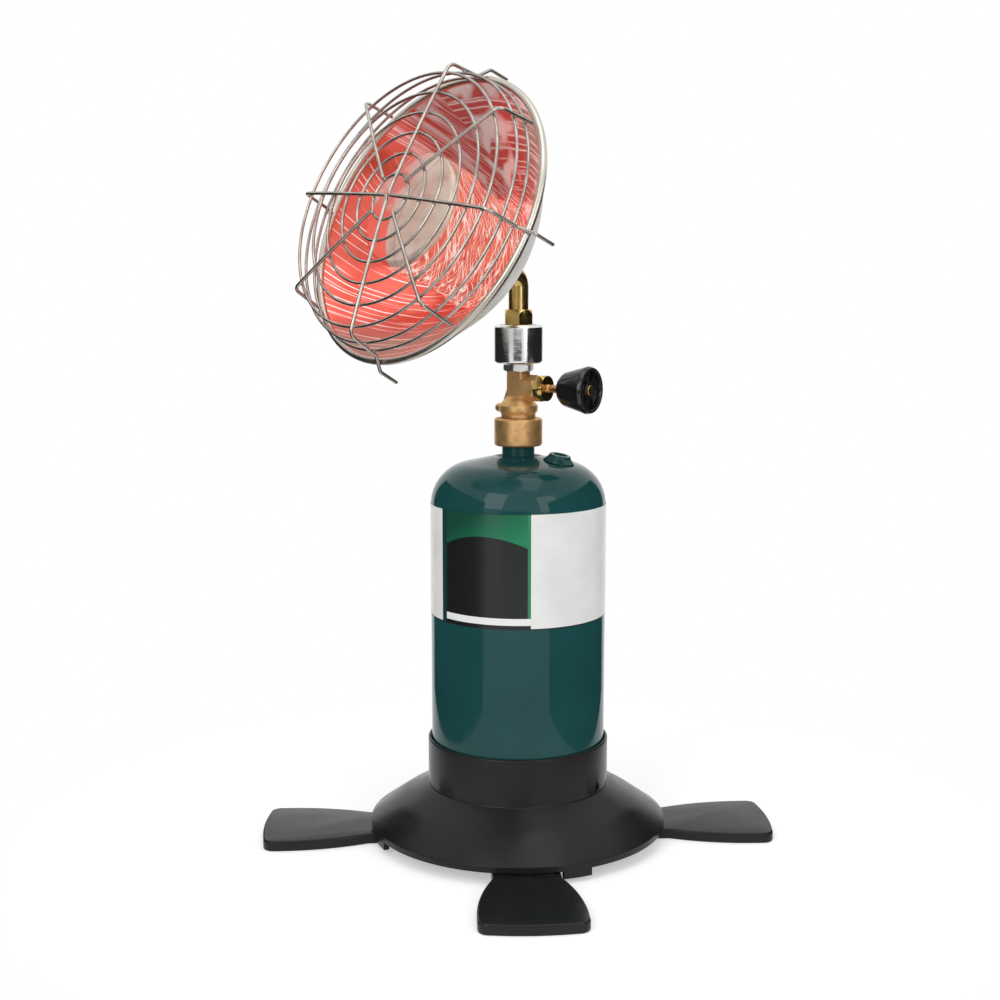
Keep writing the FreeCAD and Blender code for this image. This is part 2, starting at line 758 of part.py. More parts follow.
def burner_cap():
    """Stainless cap over the gauze, with a rounded edge and a seat ring inside."""
    back = cap_front - cap_depth
    inner = cap_radius - cap_wall
    seat = back + 6.05
    return on_dish(turned([
        (0, cap_front), (cap_radius, cap_front, 3.0), (cap_radius, back), (inner, back), (inner, seat),
        (burner_radius - 3, seat), (burner_radius - 3, seat + cap_wall), (inner, seat + cap_wall),
        (inner, cap_front - cap_wall, 2.2), (0, cap_front - cap_wall)]))


def tube_nut():
    """Hexagon nut behind the dish that clamps it on the tube."""
    high = dish_height(tube_radius + 3) - dish_wall - 0.5
    nut = hex_bar(2 * tube_radius + 7, high - 5, high, 1.0)
    return on_dish(nut.cut(rod(tube_radius + fit_clearance, high - 6, high + 1)))


# Wire guard

def dome_radius():
    span = last_ring - centre_bend
    return (span ** 2 + guard_dome ** 2) / (2 * guard_dome)


def front_height(radius):
    """Height of a spoke's centre line on the guard's domed front."""
    bow = dome_radius()
    return guard_height + guard_dome - bow + math.sqrt(bow ** 2 - (radius - centre_bend) ** 2)


def spoke_steps(start_radius, anchored):
    """Bends of one spoke from its inner end over the edge and down the guard's side."""
    bow = dome_radius()
    slope_start = math.degrees(math.asin((start_radius - centre_bend) / bow))
    slope_edge = math.degrees(math.asin((spoke_edge - centre_bend) / bow))
    steps = [(bow, slope_start - slope_edge), (spoke_bend, slope_edge - 90 + side_lean)]
    lean = math.radians(side_lean)
    edge = math.radians(slope_edge)
    side_top = front_height(spoke_edge) - spoke_bend * (math.cos(edge) - math.sin(lean))
    if not anchored:
        return steps + [((side_top - side_end) / math.cos(lean),)]
    return steps + [((side_top - anchor_kink) / math.cos(lean),), (anchor_bend, anchor_splay), (anchor_splay_run,),
                    (anchor_bend, -anchor_splay - anchor_turn_in), (anchor_tail,)]


def side_radius(height):
    """Distance of a spoke's centre line from the axis on the guard's side."""
    edge = math.asin((spoke_edge - centre_bend) / dome_radius())
    lean = math.radians(side_lean)
    top = front_height(spoke_edge) - spoke_bend * (math.cos(edge) - math.sin(lean))
    radius = spoke_edge + spoke_bend * (math.cos(lean) - math.sin(edge))
    return radius + (top - height) * math.tan(lean)


def spoke_edges(start_radius, anchored, angle):
    bow = dome_radius()
    slope = math.degrees(math.asin((start_radius - centre_bend) / bow))
    edges = bent_path((start_radius, front_height(start_radius)), -slope, spoke_steps(start_radius, anchored))
    turned_edges = []
    for edge in edges:
        copy = edge.copy()
        copy.rotate(Vector(0, 0, 0), Vector(0, 0, 1), angle)
        turned_edges.append(copy)
    return turned_edges


def reversed_edge(edge):
    """The same edge run the other way."""
    first = edge.valueAt(edge.FirstParameter)
    last = edge.valueAt(edge.LastParameter)
    if edge.Curve.TypeId == "Part::GeomLine":
        return Part.makeLine(last, first)
    middle = edge.valueAt((edge.FirstParameter + edge.LastParameter) / 2)
    return Part.Arc(last, middle, first).toShape()


def anchor_spokes(first_angle, second_angle):
    """Two spokes of one wire, bent together near the centre, whose ends hook over the dish's rim."""
    inward = [reversed_edge(edge) for edge in reversed(spoke_edges(centre_bend, True, first_angle))]
    outward = spoke_edges(centre_bend, True, second_angle)
    start = inward[-1].valueAt(inward[-1].LastParameter)
    stop = outward[0].valueAt(outward[0].FirstParameter)
    half = math.radians((first_angle - second_angle) / 2)
    apex = centre_bend * (1 - math.sin(half)) / math.cos(half)
    middle_angle = math.radians((first_angle + second_angle) / 2)
    middle = Vector(apex * math.cos(middle_angle), apex * math.sin(middle_angle), start.z)
    bend = Part.Arc(start, middle, stop).toShape()
    return swept(inward + [bend] + outward, spoke_wire)


def guard_anchor_wires():
    return on_dish(Part.makeCompound([anchor_spokes(first, second) for first, second in anchor_angles]))


def guard_spokes():
    wires = [swept(spoke_edges(first_ring, False, angle), spoke_wire) for angle in spoke_angles]
    return on_dish(Part.makeCompound(wires))


def guard_front_rings():
    """Six even rings welded below the spokes."""
    below = spoke_wire + ring_wire + weld_gap
    rings = []
    for index in range(ring_count):
        radius = first_ring + (last_ring - first_ring) * index / (ring_count - 1)
        hoop = Part.makeTorus(radius, ring_wire)
        hoop.translate(Vector(0, 0, front_height(radius) - below))
        rings.append(hoop)
    return on_dish(Part.makeCompound(rings))


def guard_side_rings():
    """Two rings inside the guard's side."""
    inside = (spoke_wire + ring_wire + weld_gap) / math.cos(math.radians(side_lean))
    rings = []
    for height in side_ring_heights:
        hoop = Part.makeTorus(side_radius(height) - inside, ring_wire)
        hoop.translate(Vector(0, 0, height))
        rings.append(hoop)
    return on_dish(Part.makeCompound(rings))


nodes = {
    "base_body": base_body(),
    "foot_screws": foot_screws(),
    "bottle_upper_shell": bottle_upper_shell(),
    "bottle_lower_shell": bottle_lower_shell(),
    "bottle_neck": bottle_neck(),
    "valve_core": valve_core(),
    "relief_valve": relief_valve(),
    "label_wrap": label_wrap(),
    "inlet_seal": inlet_seal(),
    "inlet_collar": inlet_collar(),
    "depressor_pin": depressor_pin(),
    "valve_body": valve_body(),
    "gland_nut": gland_nut(),
    "valve_stem": valve_stem(),
    "control_knob": control_knob(),
    "knob_screw": knob_screw(),
    "jet_fitting": jet_fitting(),
    "gas_jet": gas_jet(),
    "air_shroud": air_shroud(),
    "mixer_body": mixer_body(),
    "burner_tube": burner_tube(),
    "tube_nut": tube_nut(),
    "reflector_bowl": reflector_bowl(),
    "reflector_rim": reflector_rim(),
    "burner_pan": burner_pan(),
    "burner_gauze": burner_gauze(),
    "burner_cap": burner_cap(),
    "guard_anchor_wires": guard_anchor_wires(),
    "guard_spokes": guard_spokes(),
    "guard_front_rings": guard_front_rings(),
    "guard_side_rings": guard_side_rings(),
}
for name, angle in zip(("foot_front", "foot_right", "foot_back", "foot_left"), foot_angles()):
    nodes[name] = foot_at(angle)

os.makedirs("parts", exist_ok=True)
for name, shape in nodes.items():
    solids = len(shape.Solids)
    print(name, "solids", solids, "volume", round(shape.Volume, 1), "valid", shape.isValid())
    shape.exportStep("parts/" + name + ".step")
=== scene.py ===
import bmesh
import bpy
from math import asin, atan, atan2, ceil, cos, degrees, hypot, pi, radians, sin, sqrt, tan, tau
from mathutils import Matrix, Vector

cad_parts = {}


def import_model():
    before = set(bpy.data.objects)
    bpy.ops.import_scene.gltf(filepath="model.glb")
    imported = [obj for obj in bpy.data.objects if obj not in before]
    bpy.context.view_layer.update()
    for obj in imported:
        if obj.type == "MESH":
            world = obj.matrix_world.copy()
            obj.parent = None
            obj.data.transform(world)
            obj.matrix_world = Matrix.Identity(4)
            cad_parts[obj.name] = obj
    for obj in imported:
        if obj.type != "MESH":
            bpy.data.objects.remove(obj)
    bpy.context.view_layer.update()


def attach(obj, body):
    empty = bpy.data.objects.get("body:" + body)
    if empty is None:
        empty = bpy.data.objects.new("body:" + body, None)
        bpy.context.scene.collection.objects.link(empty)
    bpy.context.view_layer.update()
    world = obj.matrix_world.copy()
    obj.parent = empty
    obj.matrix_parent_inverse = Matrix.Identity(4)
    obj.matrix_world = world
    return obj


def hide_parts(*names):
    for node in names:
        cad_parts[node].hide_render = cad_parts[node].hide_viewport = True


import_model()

# Looks of the bottle-top propane heater. Shapes are drawn in millimetres about their own axis, set in place,
# and made metres at the end.
MM = 0.001

# Bottle base and feet
BASE_TURN = 3.7
RIM_RADIUS = 84.4
RIM_LOW = 6.9
RIM_HIGH = 10.6
SKIRT_WALL = 2.4
CUP_RADIUS = 49.8
COLLAR_RADIUS = 51.4
COLLAR_LOW = 30.9
COLLAR_TOP = 58.2
CUP_FLOOR = 26.6
DRAIN_RADIUS = 20.0
SKIRT_MIDDLE = (COLLAR_RADIUS + RIM_RADIUS) / 2
SKIRT_HEIGHT = (COLLAR_LOW + RIM_HIGH) / 2 + 1.5
FOOT_PIVOT = 74.0
FOOT_REACH = 146.4
FOOT_NECK = 37.0
FOOT_WIDTH = 56.2
FOOT_SHOULDER = 60.0
FOOT_THICKNESS = 6.0
FOOT_HIGH = 6.6
SCREW_HOLE = 2.55
FOOT_ANGLES = [BASE_TURN - 45 + 90 * index for index in range(4)]

# Gas bottle
BOTTLE_RADIUS = 49.3
WELD = CUP_FLOOR + 28.4
CROWN = CUP_FLOOR + 192.5
SHOULDER = CROWN - 7.5
NECK_LOW = CROWN - 3.0
NECK_HIGH = NECK_LOW + 8.3
NECK_TOP = NECK_HIGH + 10.1
NECK_CREASE = 13.5
THREAD_RADIUS = 11.0
THREAD_LOW = NECK_HIGH + 0.8
THREAD_PITCH = 1.27
LABEL_LOW = CUP_FLOOR + 103.7
LABEL_HIGH = LABEL_LOW + 62.7
LABEL_PANEL = (-96.8, -36.6)
LABEL_STRIP = (132.7, 136.5)
LABEL_ARCH_TOP = 180.6

# Valve, shroud and tube
INLET_LOW = NECK_HIGH + 0.6
INLET_HIGH = INLET_LOW + 15.6
INLET_ROOF = NECK_TOP + 1.7
FLANGE_LOW = INLET_HIGH + 1.9
FLANGE_HIGH = FLANGE_LOW + 8.3
BLOCK_LOW = FLANGE_HIGH + 2.1
BLOCK_HIGH = BLOCK_LOW + 13.7
KNOB_TURN = 13.0
SPINDLE_HEIGHT = BLOCK_LOW + 4.6
JET_HIGH = BLOCK_HIGH + 4.1
SHROUD_RADIUS = 13.85
SHROUD_HIGH = JET_HIGH + 21.7
MIXER_LOW = SHROUD_HIGH - 1.9
MIXER_HIGH = MIXER_LOW + 10.1
TUBE_RADIUS = 5.6
TUBE_BEND = 8.0
TUBE_HOLE = 5.65
SPIGOT_HOLE = 4.05

# Dish, burner and guard, along the dish's own axis from its rim
DISH_TILT = 23.9
DISH_CENTRE = Vector((0, -68.1, MIXER_HIGH + 47.65))
DISH_RADIUS = 78.4
DISH_DEPTH = 53.0
DISH_WALL = 0.8
DISH_STEPS = 40
BURNER_RADIUS = 29.0
CAP_RADIUS = 32.0
CAP_FRONT = 12.8
CAP_BACK = CAP_FRONT - 22.8
GUARD_HEIGHT = 25.4
GUARD_DOME = 2.1
SPOKE_WIRE = 0.95
RING_WIRE = 0.8
RING_BELOW = SPOKE_WIRE + RING_WIRE + 0.02
CENTRE_BEND = 3.0
FIRST_RING = 12.7
LAST_RING = 70.3
SPOKE_EDGE = 71.6
SPOKE_BEND = 4.5
SIDE_LEAN = 9.0
SIDE_RINGS = (14.6, 7.4)
FRONT_RINGS = 6
RING_STEPS = 120
RING_SIDES = 14
SPOKE_SIDES = 16
BEAD_RADIUS = 1.05
ANCHOR_ANGLES = ((81.0, -7.0), (-87.5, -184.1))
SPOKE_ANGLES = (37.2, -49.9, -137.7, -229.9)

# The camera as it stands before its turn about Z, and the studio, in metres
CAMERA_TURN = 46.0
CAMERA_DIP = 8.2266
CAMERA_LENS = 55.088
CAMERA_PLACE = (-0.0102557, -0.8536383, 0.317395)
LIGHT_AIM = 0.2
FLOOR_FADE = (0.13, 0.30)

ON_SPINDLE = (Matrix.Translation((0, 0, SPINDLE_HEIGHT)) @ Matrix.Rotation(radians(KNOB_TURN), 4, "Z")
              @ Matrix.Rotation(radians(90), 4, "Y"))
ON_DISH = Matrix.Translation(DISH_CENTRE) @ Matrix.Rotation(radians(90 - DISH_TILT), 4, "X")


# Making shapes

def polar(radius, angle):
    return radius * cos(angle), radius * sin(angle)


def swung(arm, turn):
    """Flat vector turned about the origin."""
    return Vector((arm.x * cos(turn) - arm.y * sin(turn), arm.x * sin(turn) + arm.y * cos(turn)))


def linked(name, data):
    item = bpy.data.objects.new(name, data)
    bpy.context.scene.collection.objects.link(item)
    return item


def rounded(corners, step=7.0):
    """Outline points in which every (radius, height, rounding) corner has become an arc."""
    points = []
    for index, corner in enumerate(corners):
        here = Vector(corner[:2])
        if len(corner) < 3:
            points.append(here)
            continue
        to_before = (Vector(corners[index - 1][:2]) - here).normalized()
        to_after = (Vector(corners[(index + 1) % len(corners)][:2]) - here).normalized()
        half = to_before.angle(to_after) / 2
        reach = corner[2] / tan(half)
        centre = here + (to_before + to_after).normalized() * (corner[2] / sin(half))
        arm = here + to_before * reach - centre
        last = here + to_after * reach - centre
        sweep = atan2(arm.x * last.y - arm.y * last.x, arm.dot(last))
        count = max(3, ceil(abs(degrees(sweep)) / step))
        for tick in range(count + 1):
            turn = sweep * tick / count
            points.append(centre + swung(arm, turn))
    return points


def new_object(name, maker):
    """Object in the scene from a bmesh, with its faces pointing outwards."""
    bmesh.ops.remove_doubles(maker, verts=maker.verts, dist=1e-5)
    if maker.faces:
        bmesh.ops.recalc_face_normals(maker, faces=maker.faces)
    mesh = bpy.data.meshes.new(name)
    maker.to_mesh(mesh)
    maker.free()
    return linked(name, mesh)


def lathe(name, corners, around=144, step=7.0, arc=None, bump=None):
    """Turned shape about Z. arc gives a part turn in degrees, and bump(angle, height) moves its skin outwards."""
    maker = bmesh.new()
    points = rounded(corners, step)
    first, stop = arc or (0.0, 360.0)
    columns = around if arc is None else around + 1
    rings = []
    for point in points:
        if point.x < 1e-6:
            rings.append([maker.verts.new((0, 0, point.y))])
            continue
        ring = []
        for column in range(columns):
            angle = radians(first + (stop - first) * column / around)
            radius = point.x + (bump(angle, point.y) if bump else 0)
            ring.append(maker.verts.new((*polar(radius, angle), point.y)))
        rings.append(ring)
    for index, lower in enumerate(rings):
        upper = rings[(index + 1) % len(rings)]
        for column in range(around):
            after = (column + 1) % columns
            corners_here = [lower[column % len(lower)], lower[after % len(lower)],
                            upper[after % len(upper)], upper[column % len(upper)]]
            face = [vert for at, vert in enumerate(corners_here) if vert not in corners_here[:at]]
            if len(face) > 2:
                maker.faces.new(face)
    if arc is not None:
        maker.faces.new([ring[0] for ring in rings])
        maker.faces.new([ring[-1] for ring in reversed(rings)])
    return new_object(name, maker)


def stepped(name, around, low, *steps):
    """Round rod on Z from low, in steps of (radius, height)."""
    corners = [(0, low)]
    for radius, high in steps:
        corners += [(radius, low), (radius, high)]
        low = high
    return lathe(name, corners + [(0, low)], around)


def prism(name, points, low, high):
    """Upright block on an outline of (x, y) points."""
    maker = bmesh.new()
    floor = maker.faces.new([maker.verts.new((x, y, low)) for x, y in points])
    grown = bmesh.ops.extrude_face_region(maker, geom=[floor])
    raised = [item for item in grown["geom"] if isinstance(item, bmesh.types.BMVert)]
    bmesh.ops.translate(maker, verts=raised, vec=(0, 0, high - low))
    return new_object(name, maker)


def brick(name, low, high):
    return prism(name, [(low[0], low[1]), (high[0], low[1]), (high[0], high[1]), (low[0], high[1])], low[2], high[2])


def moved(item, matrix):
    item.data.transform(matrix)
    return item


def spun(item, turn, axis="Z"):
    return moved(item, Matrix.Rotation(radians(turn), 4, axis))


def shifted(item, *place):
    return moved(item, Matrix.Translation(place))


def drop(item):
    mesh = item.data
    bpy.data.objects.remove(item)
    bpy.data.meshes.remove(mesh)


def settled(item):
    """The object with what its modifiers make as its own plain mesh."""
    ready = item.evaluated_get(bpy.context.evaluated_depsgraph_get())
    mesh = bpy.data.meshes.new_from_object(ready)
    worn = item.data
    item.modifiers.clear()
    item.data = mesh
    mesh.name = item.name
    bpy.data.meshes.remove(worn)
    return item


def combined(item, others, operation):
    """Boolean work with several tools, which are used up."""
    for other in others:
        modifier = item.modifiers.new("work", "BOOLEAN")
        modifier.operation = operation
        modifier.solver = "EXACT"
        modifier.object = other
    settled(item)
    for other in others:
        drop(other)
    return item


def fused(item, *others):
    return combined(item, others, "UNION")


def cut(item, *others):
    return combined(item, others, "DIFFERENCE")


def kept_inside(item, other):
    return combined(item, [other], "INTERSECT")


def joined(item, *others):
    """Several shapes as one object, each still closed by itself."""
    maker = bmesh.new()
    maker.from_mesh(item.data)
    for other in others:
        maker.from_mesh(other.data)
        drop(other)
    maker.to_mesh(item.data)
    maker.free()
    return item


def bevelled(item, width, segments=2, angle=35):
    modifier = item.modifiers.new("edge", "BEVEL")
    modifier.width = width
    modifier.segments = segments
    modifier.limit_method = "ANGLE"
    modifier.angle_limit = radians(angle)
    return settled(item)


def cast(item, voxel, smoothing):
    """Soft corners of a casting: one skin, relaxed."""
    modifier = item.modifiers.new("skin", "REMESH")
    modifier.mode = "VOXEL"
    modifier.voxel_size = voxel
    relax = item.modifiers.new("relax", "SMOOTH")
    relax.factor = 0.5
    relax.iterations = smoothing
    return settled(item)


def hexagon(name, flats, low, high, chamfer, edge=0.12):
    """Hexagon whose corners are turned down at the ends, as a nut's are. chamfer is (low, high)."""
    corner = flats / sqrt(3)
    points = [polar(corner, radians(60 * step + 30)) for step in range(6)]
    blank = [(0, low), (flats / 2, low), (corner + 0.01, low + chamfer[0])]
    blank += [(corner + 0.01, high - chamfer[1]), (flats / 2, high), (0, high)]
    nut = kept_inside(prism(name, points, low - 1, high + 1), lathe("blank", blank, around=96))
    return bevelled(nut, edge)


def finished(item, body, slot, finish, *nodes, place=None, sharp=32):
    """Last step for a piece: in place, in metres, shaded, on its body and standing for its CAD nodes."""
    mesh = item.data
    if place is not None:
        mesh.transform(place)
    mesh.transform(Matrix.Scale(MM, 4))
    if finish is not None:
        mesh.materials.clear()
        mesh.materials.append(FINISHES[finish])
    mesh.shade_smooth()
    mesh.set_sharp_from_angle(angle=radians(sharp))
    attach(item, body)
    if nodes:
        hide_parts(*nodes)


# Node trees

SOCKETS = {int: "NodeSocketInt", float: "NodeSocketFloat"}


class Flow:
    """Output of a node. Arithmetic with it adds Math nodes to its tree."""

    def __init__(self, node, output=0):
        self.node = node
        self.socket = node.outputs[output]
        self.tree = node.id_data

    def math(self, operation, other=0.0):
        return put(self.tree, "ShaderNodeMath", {0: self, 1: other}, operation=operation)

    def __add__(self, other):
        return self.math("ADD", other)

    def __sub__(self, other):
        return self.math("SUBTRACT", other)

    def __mul__(self, other):
        return self.math("MULTIPLY", other)

    def __truediv__(self, other):
        return self.math("DIVIDE", other)


def feed(node, sockets):
    """Gives each named or numbered input a value or another node's output."""
    for key, value in sockets.items():
        if isinstance(value, Flow):
            node.id_data.links.new(value.socket, node.inputs[key])
        else:
            node.inputs[key].default_value = value


def put(tree, kind, sockets=None, output=0, **settings):
    """Adds a node with its settings and inputs, and gives one of its outputs."""
    made = tree.nodes.new(kind)
    for key, value in settings.items():
        setattr(made, key, value)
    feed(made, sockets or {})
    return Flow(made, output)


def vector(tree, x=0.0, y=0.0, z=0.0):
    return put(tree, "ShaderNodeCombineXYZ", {0: x, 1: y, 2: z})


# Geometry trees

def shape_tree(name, **sizes):
    """Empty geometry tree with a shape, named sizes and a finish as its inputs."""
    tree = bpy.data.node_groups.new(name, "GeometryNodeTree")
    kinds = {"Shape": "NodeSocketGeometry"}
    kinds.update({label.replace("_", " "): SOCKETS[kind] for label, kind in sizes.items()})
    kinds["Finish"] = "NodeSocketMaterial"
    for label, kind in kinds.items():
        tree.interface.new_socket(label, in_out="INPUT", socket_type=kind)
    tree.interface.new_socket("Shape", in_out="OUTPUT", socket_type="NodeSocketGeometry")
    entry = tree.nodes.new("NodeGroupInput")
    return tree, {label: Flow(entry, label) for label in kinds}


def end_tree(tree, given, shape):
    real = put(tree, "GeometryNodeRealizeInstances", {"Geometry": shape})
    smooth = put(tree, "GeometryNodeSetShadeSmooth", {0: real})
    painted = put(tree, "GeometryNodeSetMaterial", {"Geometry": smooth, "Material": given["Finish"]})
    feed(tree.nodes.new("NodeGroupOutput"), {0: painted})
    return tree


def swept(tree, path, radius, sides, caps=False):
    """Round section run along a curve."""
    section = put(tree, "GeometryNodeCurvePrimitiveCircle", {"Resolution": sides, "Radius": radius})
    return put(tree, "GeometryNodeCurveToMesh", {"Curve": path, "Profile Curve": section, "Fill Caps": caps})


def copied(tree, points, shape, **placing):
    return put(tree, "GeometryNodeInstanceOnPoints", {"Points": points, "Instance": shape, **placing})


def wire_tree():
    """Round wire along the edges of a drawn path."""
    tree, given = shape_tree("round_wire", Wire_radius=float, Sides=int)
    path = put(tree, "GeometryNodeMeshToCurve", {"Mesh": given["Shape"]})
    return end_tree(tree, given, swept(tree, path, given["Wire radius"], given["Sides"], True))


def hoop_tree():
    """Even hoops of wire laid on a domed front."""
    tree, given = shape_tree("front_hoops", Hoops=int, First_radius=float, Last_radius=float, Wire_radius=float,
                             Front_height=float, Dome_radius=float, Centre_bend=float)
    first, dome = given["First radius"], given["Dome radius"]
    steps = put(tree, "GeometryNodeInputIndex") / (given["Hoops"] - 1.0)
    radius = first + steps * (given["Last radius"] - first)
    out = radius - given["Centre bend"]
    chord = (dome * dome - out * out).math("SQRT")
    spots = put(tree, "GeometryNodePoints", {"Count": given["Hoops"]})
    raised = put(tree, "GeometryNodeSetPosition",
                 {"Geometry": spots, "Position": vector(tree, z=given["Front height"] + (chord - dome))})
    circle = put(tree, "GeometryNodeCurvePrimitiveCircle", {"Resolution": RING_STEPS, "Radius": 1.0})
    hoops = copied(tree, raised, circle, Scale=vector(tree, radius, radius, 1.0))
    real = put(tree, "GeometryNodeRealizeInstances", {"Geometry": hoops})
    return end_tree(tree, given, swept(tree, real, given["Wire radius"], RING_SIDES))


def around_tree():
    """The same shape repeated evenly round Z."""
    tree, given = shape_tree("repeat_round_axis", Copies=int, First_angle=float)
    pitch = put(tree, "ShaderNodeMath", {0: tau, 1: given["Copies"]}, operation="DIVIDE")
    angle = given["First angle"].math("RADIANS") + put(tree, "GeometryNodeInputIndex") * pitch
    spots = put(tree, "GeometryNodePoints", {"Count": given["Copies"]})
    return end_tree(tree, given, copied(tree, spots, given["Shape"], Rotation=vector(tree, z=angle)))


def weld_tree():
    """Small melted beads on marked points, no two quite the same."""
    tree, given = shape_tree("weld_beads", Bead_radius=float, Seed=int)
    bead = put(tree, "GeometryNodeMeshIcoSphere", {"Radius": given["Bead radius"], "Subdivisions": 3})
    width = put(tree, "FunctionNodeRandomValue", {2: 0.8, 3: 1.25, "Seed": given["Seed"]}, 1, data_type="FLOAT")
    turned = put(tree, "FunctionNodeRandomValue", {0: (0, 0, 0), 1: (6, 6, 6), "Seed": given["Seed"]},
                 data_type="FLOAT_VECTOR")
    return end_tree(tree, given, copied(tree, given["Shape"], bead, Rotation=turned,
                                        Scale=vector(tree, width, 1.0, 0.85)))


def gauze_tree():
    """Woven wire sleeve, drawn in and crumpled a little, from a plain sleeve of squares."""
    tree, given = shape_tree("crumpled_gauze", Wire_radius=float, Crumple=float, Seed=float)
    creases = put(tree, "ShaderNodeTexNoise", {"Vector": put(tree, "GeometryNodeInputPosition"),
                                               "W": given["Seed"], "Scale": 0.17, "Detail": 3.0},
                  "Color", noise_dimensions="4D")
    centred = put(tree, "ShaderNodeVectorMath", {0: creases, 1: (0.5, 0.5, 0.5)}, operation="SUBTRACT")
    shift = put(tree, "ShaderNodeVectorMath", {0: centred, "Scale": given["Crumple"]}, operation="SCALE")
    crushed = put(tree, "GeometryNodeSetPosition", {"Geometry": given["Shape"], "Offset": shift})
    lines = put(tree, "GeometryNodeMeshToCurve", {"Mesh": crushed})
    both = put(tree, "GeometryNodeJoinGeometry", {"Geometry": swept(tree, lines, given["Wire radius"], 4)})
    feed(both.node, {0: crushed})
    return end_tree(tree, given, both)


def grown(item, tree, finish, **sizes):
    """Runs a geometry tree on an object and keeps its result as a plain mesh."""
    modifier = item.modifiers.new(tree.name, "NODES")
    modifier.node_group = tree
    values = {label.replace("_", " "): value for label, value in sizes.items()}
    values["Finish"] = FINISHES[finish]
    for socket in tree.interface.items_tree:
        if socket.in_out == "INPUT" and socket.name in values:
            modifier[socket.identifier] = values[socket.name]
    return settled(item)


# Finishes

def wear(shader, **sockets):
    feed(shader, {label.replace("_", " "): value for label, value in sockets.items()})


def new_finish(name, **sockets):
    """Material with its shader and the piece's own coordinates."""
    made = bpy.data.materials.new(name)
    made.use_nodes = True
    shader = made.node_tree.nodes["Principled BSDF"]
    wear(shader, **sockets)
    return made, shader, put(made.node_tree, "ShaderNodeTexCoord", output="Object")


def noise(place, scale, detail=3.0, stretch=None):
    """Noise over the piece. stretch lengthens it along some axes."""
    if stretch is not None:
        place = put(place.tree, "ShaderNodeMapping", {"Vector": place, "Scale": stretch})
    return put(place.tree, "ShaderNodeTexNoise", {"Vector": place, "Scale": scale, "Detail": detail})


def ranged(value, low, high, start=0.3, stop=0.7, **settings):
    """Maps start..stop to low..high and holds it there outside."""
    return put(value.tree, "ShaderNodeMapRange", {0: value, 1: start, 2: stop, 3: low, 4: high}, **settings)


def shades(value, *stops):
    """Colour ramp of (position, colour) stops."""
    ramp = put(value.tree, "ShaderNodeValToRGB", {"Fac": value})
    elements = ramp.node.color_ramp.elements
    while len(elements) < len(stops):
        elements.new(0.5)
    for element, (position, colour) in zip(elements, stops):
        element.position = position
        element.color = (*colour, 1)
    return ramp


def mixed(factor, *ends):
    """Colour that goes from the first of two ends to the second with factor."""
    first, second = [(*end, 1) if isinstance(end, tuple) else end for end in ends]
    return put(factor.tree, "ShaderNodeMix", {0: factor, 6: first, 7: second}, 2, data_type="RGBA")


def relief(height, strength, distance, **before):
    return put(height.tree, "ShaderNodeBump", {"Height": height, "Strength": strength, "Distance": distance, **before})


def moulded_black():
    """Injection-moulded black plastic, half gloss, with a fine spark-eroded grain."""
    made, shader, place = new_finish("moulded_black", Specular_IOR_Level=0.18)
    broad = noise(place, 22, 2)
    grain = relief(noise(place, 2600, 2), 0.08, 0.00005)
    wear(shader, Base_Color=shades(broad, (0.3, (0.011, 0.011, 0.0115)), (0.75, (0.017, 0.017, 0.0175))),
         Roughness=ranged(noise(place, 60, 4), 0.20, 0.32), Normal=relief(broad, 0.25, 0.0004, Normal=grain))
    return made


def knob_black():
    """Glossy hard plastic with faint handling marks."""
    made, shader, place = new_finish("knob_black", Specular_IOR_Level=0.5)
    tone = shades(noise(place, 90, 3), (0.3, (0.006, 0.006, 0.007)), (0.8, (0.014, 0.014, 0.015)))
    wear(shader, Base_Color=tone, Roughness=ranged(noise(place, 260, 5), 0.08, 0.20),
         Normal=relief(noise(place, 420, 3), 0.12, 0.00008))
    return made


def bottle_green():
    """Baked dark green enamel on steel, glossy, with a little orange peel."""
    made, shader, place = new_finish("bottle_green", Specular_IOR_Level=0.22)
    tone = shades(noise(place, 16, 4), (0.3, (0.0085, 0.050, 0.052)), (0.75, (0.0130, 0.070, 0.071)))
    peel = relief(noise(place, 520, 2), 0.06, 0.00008)
    wear(shader, Base_Color=tone, Roughness=ranged(noise(place, 120, 4), 0.06, 0.11),
         Normal=relief(noise(place, 45, 2), 0.10, 0.0003, Normal=peel))
    return made


def metal(name, colours, rough, grain_scale, grain, distance=0.00005, stretch=None, patches=70, tarnish=None,
          metallic=1.0):
    """Metal with an uneven tone, a range of polish and a tooling grain, optionally tarnished in patches."""
    made, shader, place = new_finish(name, Metallic=metallic)
    colour = shades(noise(place, patches, 4), (0.28, colours[0]), (0.72, colours[1]))
    if tarnish is not None:
        colour = mixed(ranged(noise(place, patches * 3.1, 6), 0.0, 0.55, 0.52, 0.72), colour, tarnish)
    wear(shader, Base_Color=colour, Roughness=ranged(noise(place, patches * 2.3, 5), *rough),
         Normal=relief(noise(place, grain_scale, 3, stretch), grain, distance))
    return made


def between(value, low, high):
    return value.math("GREATER_THAN", low) * value.math("LESS_THAN", high)


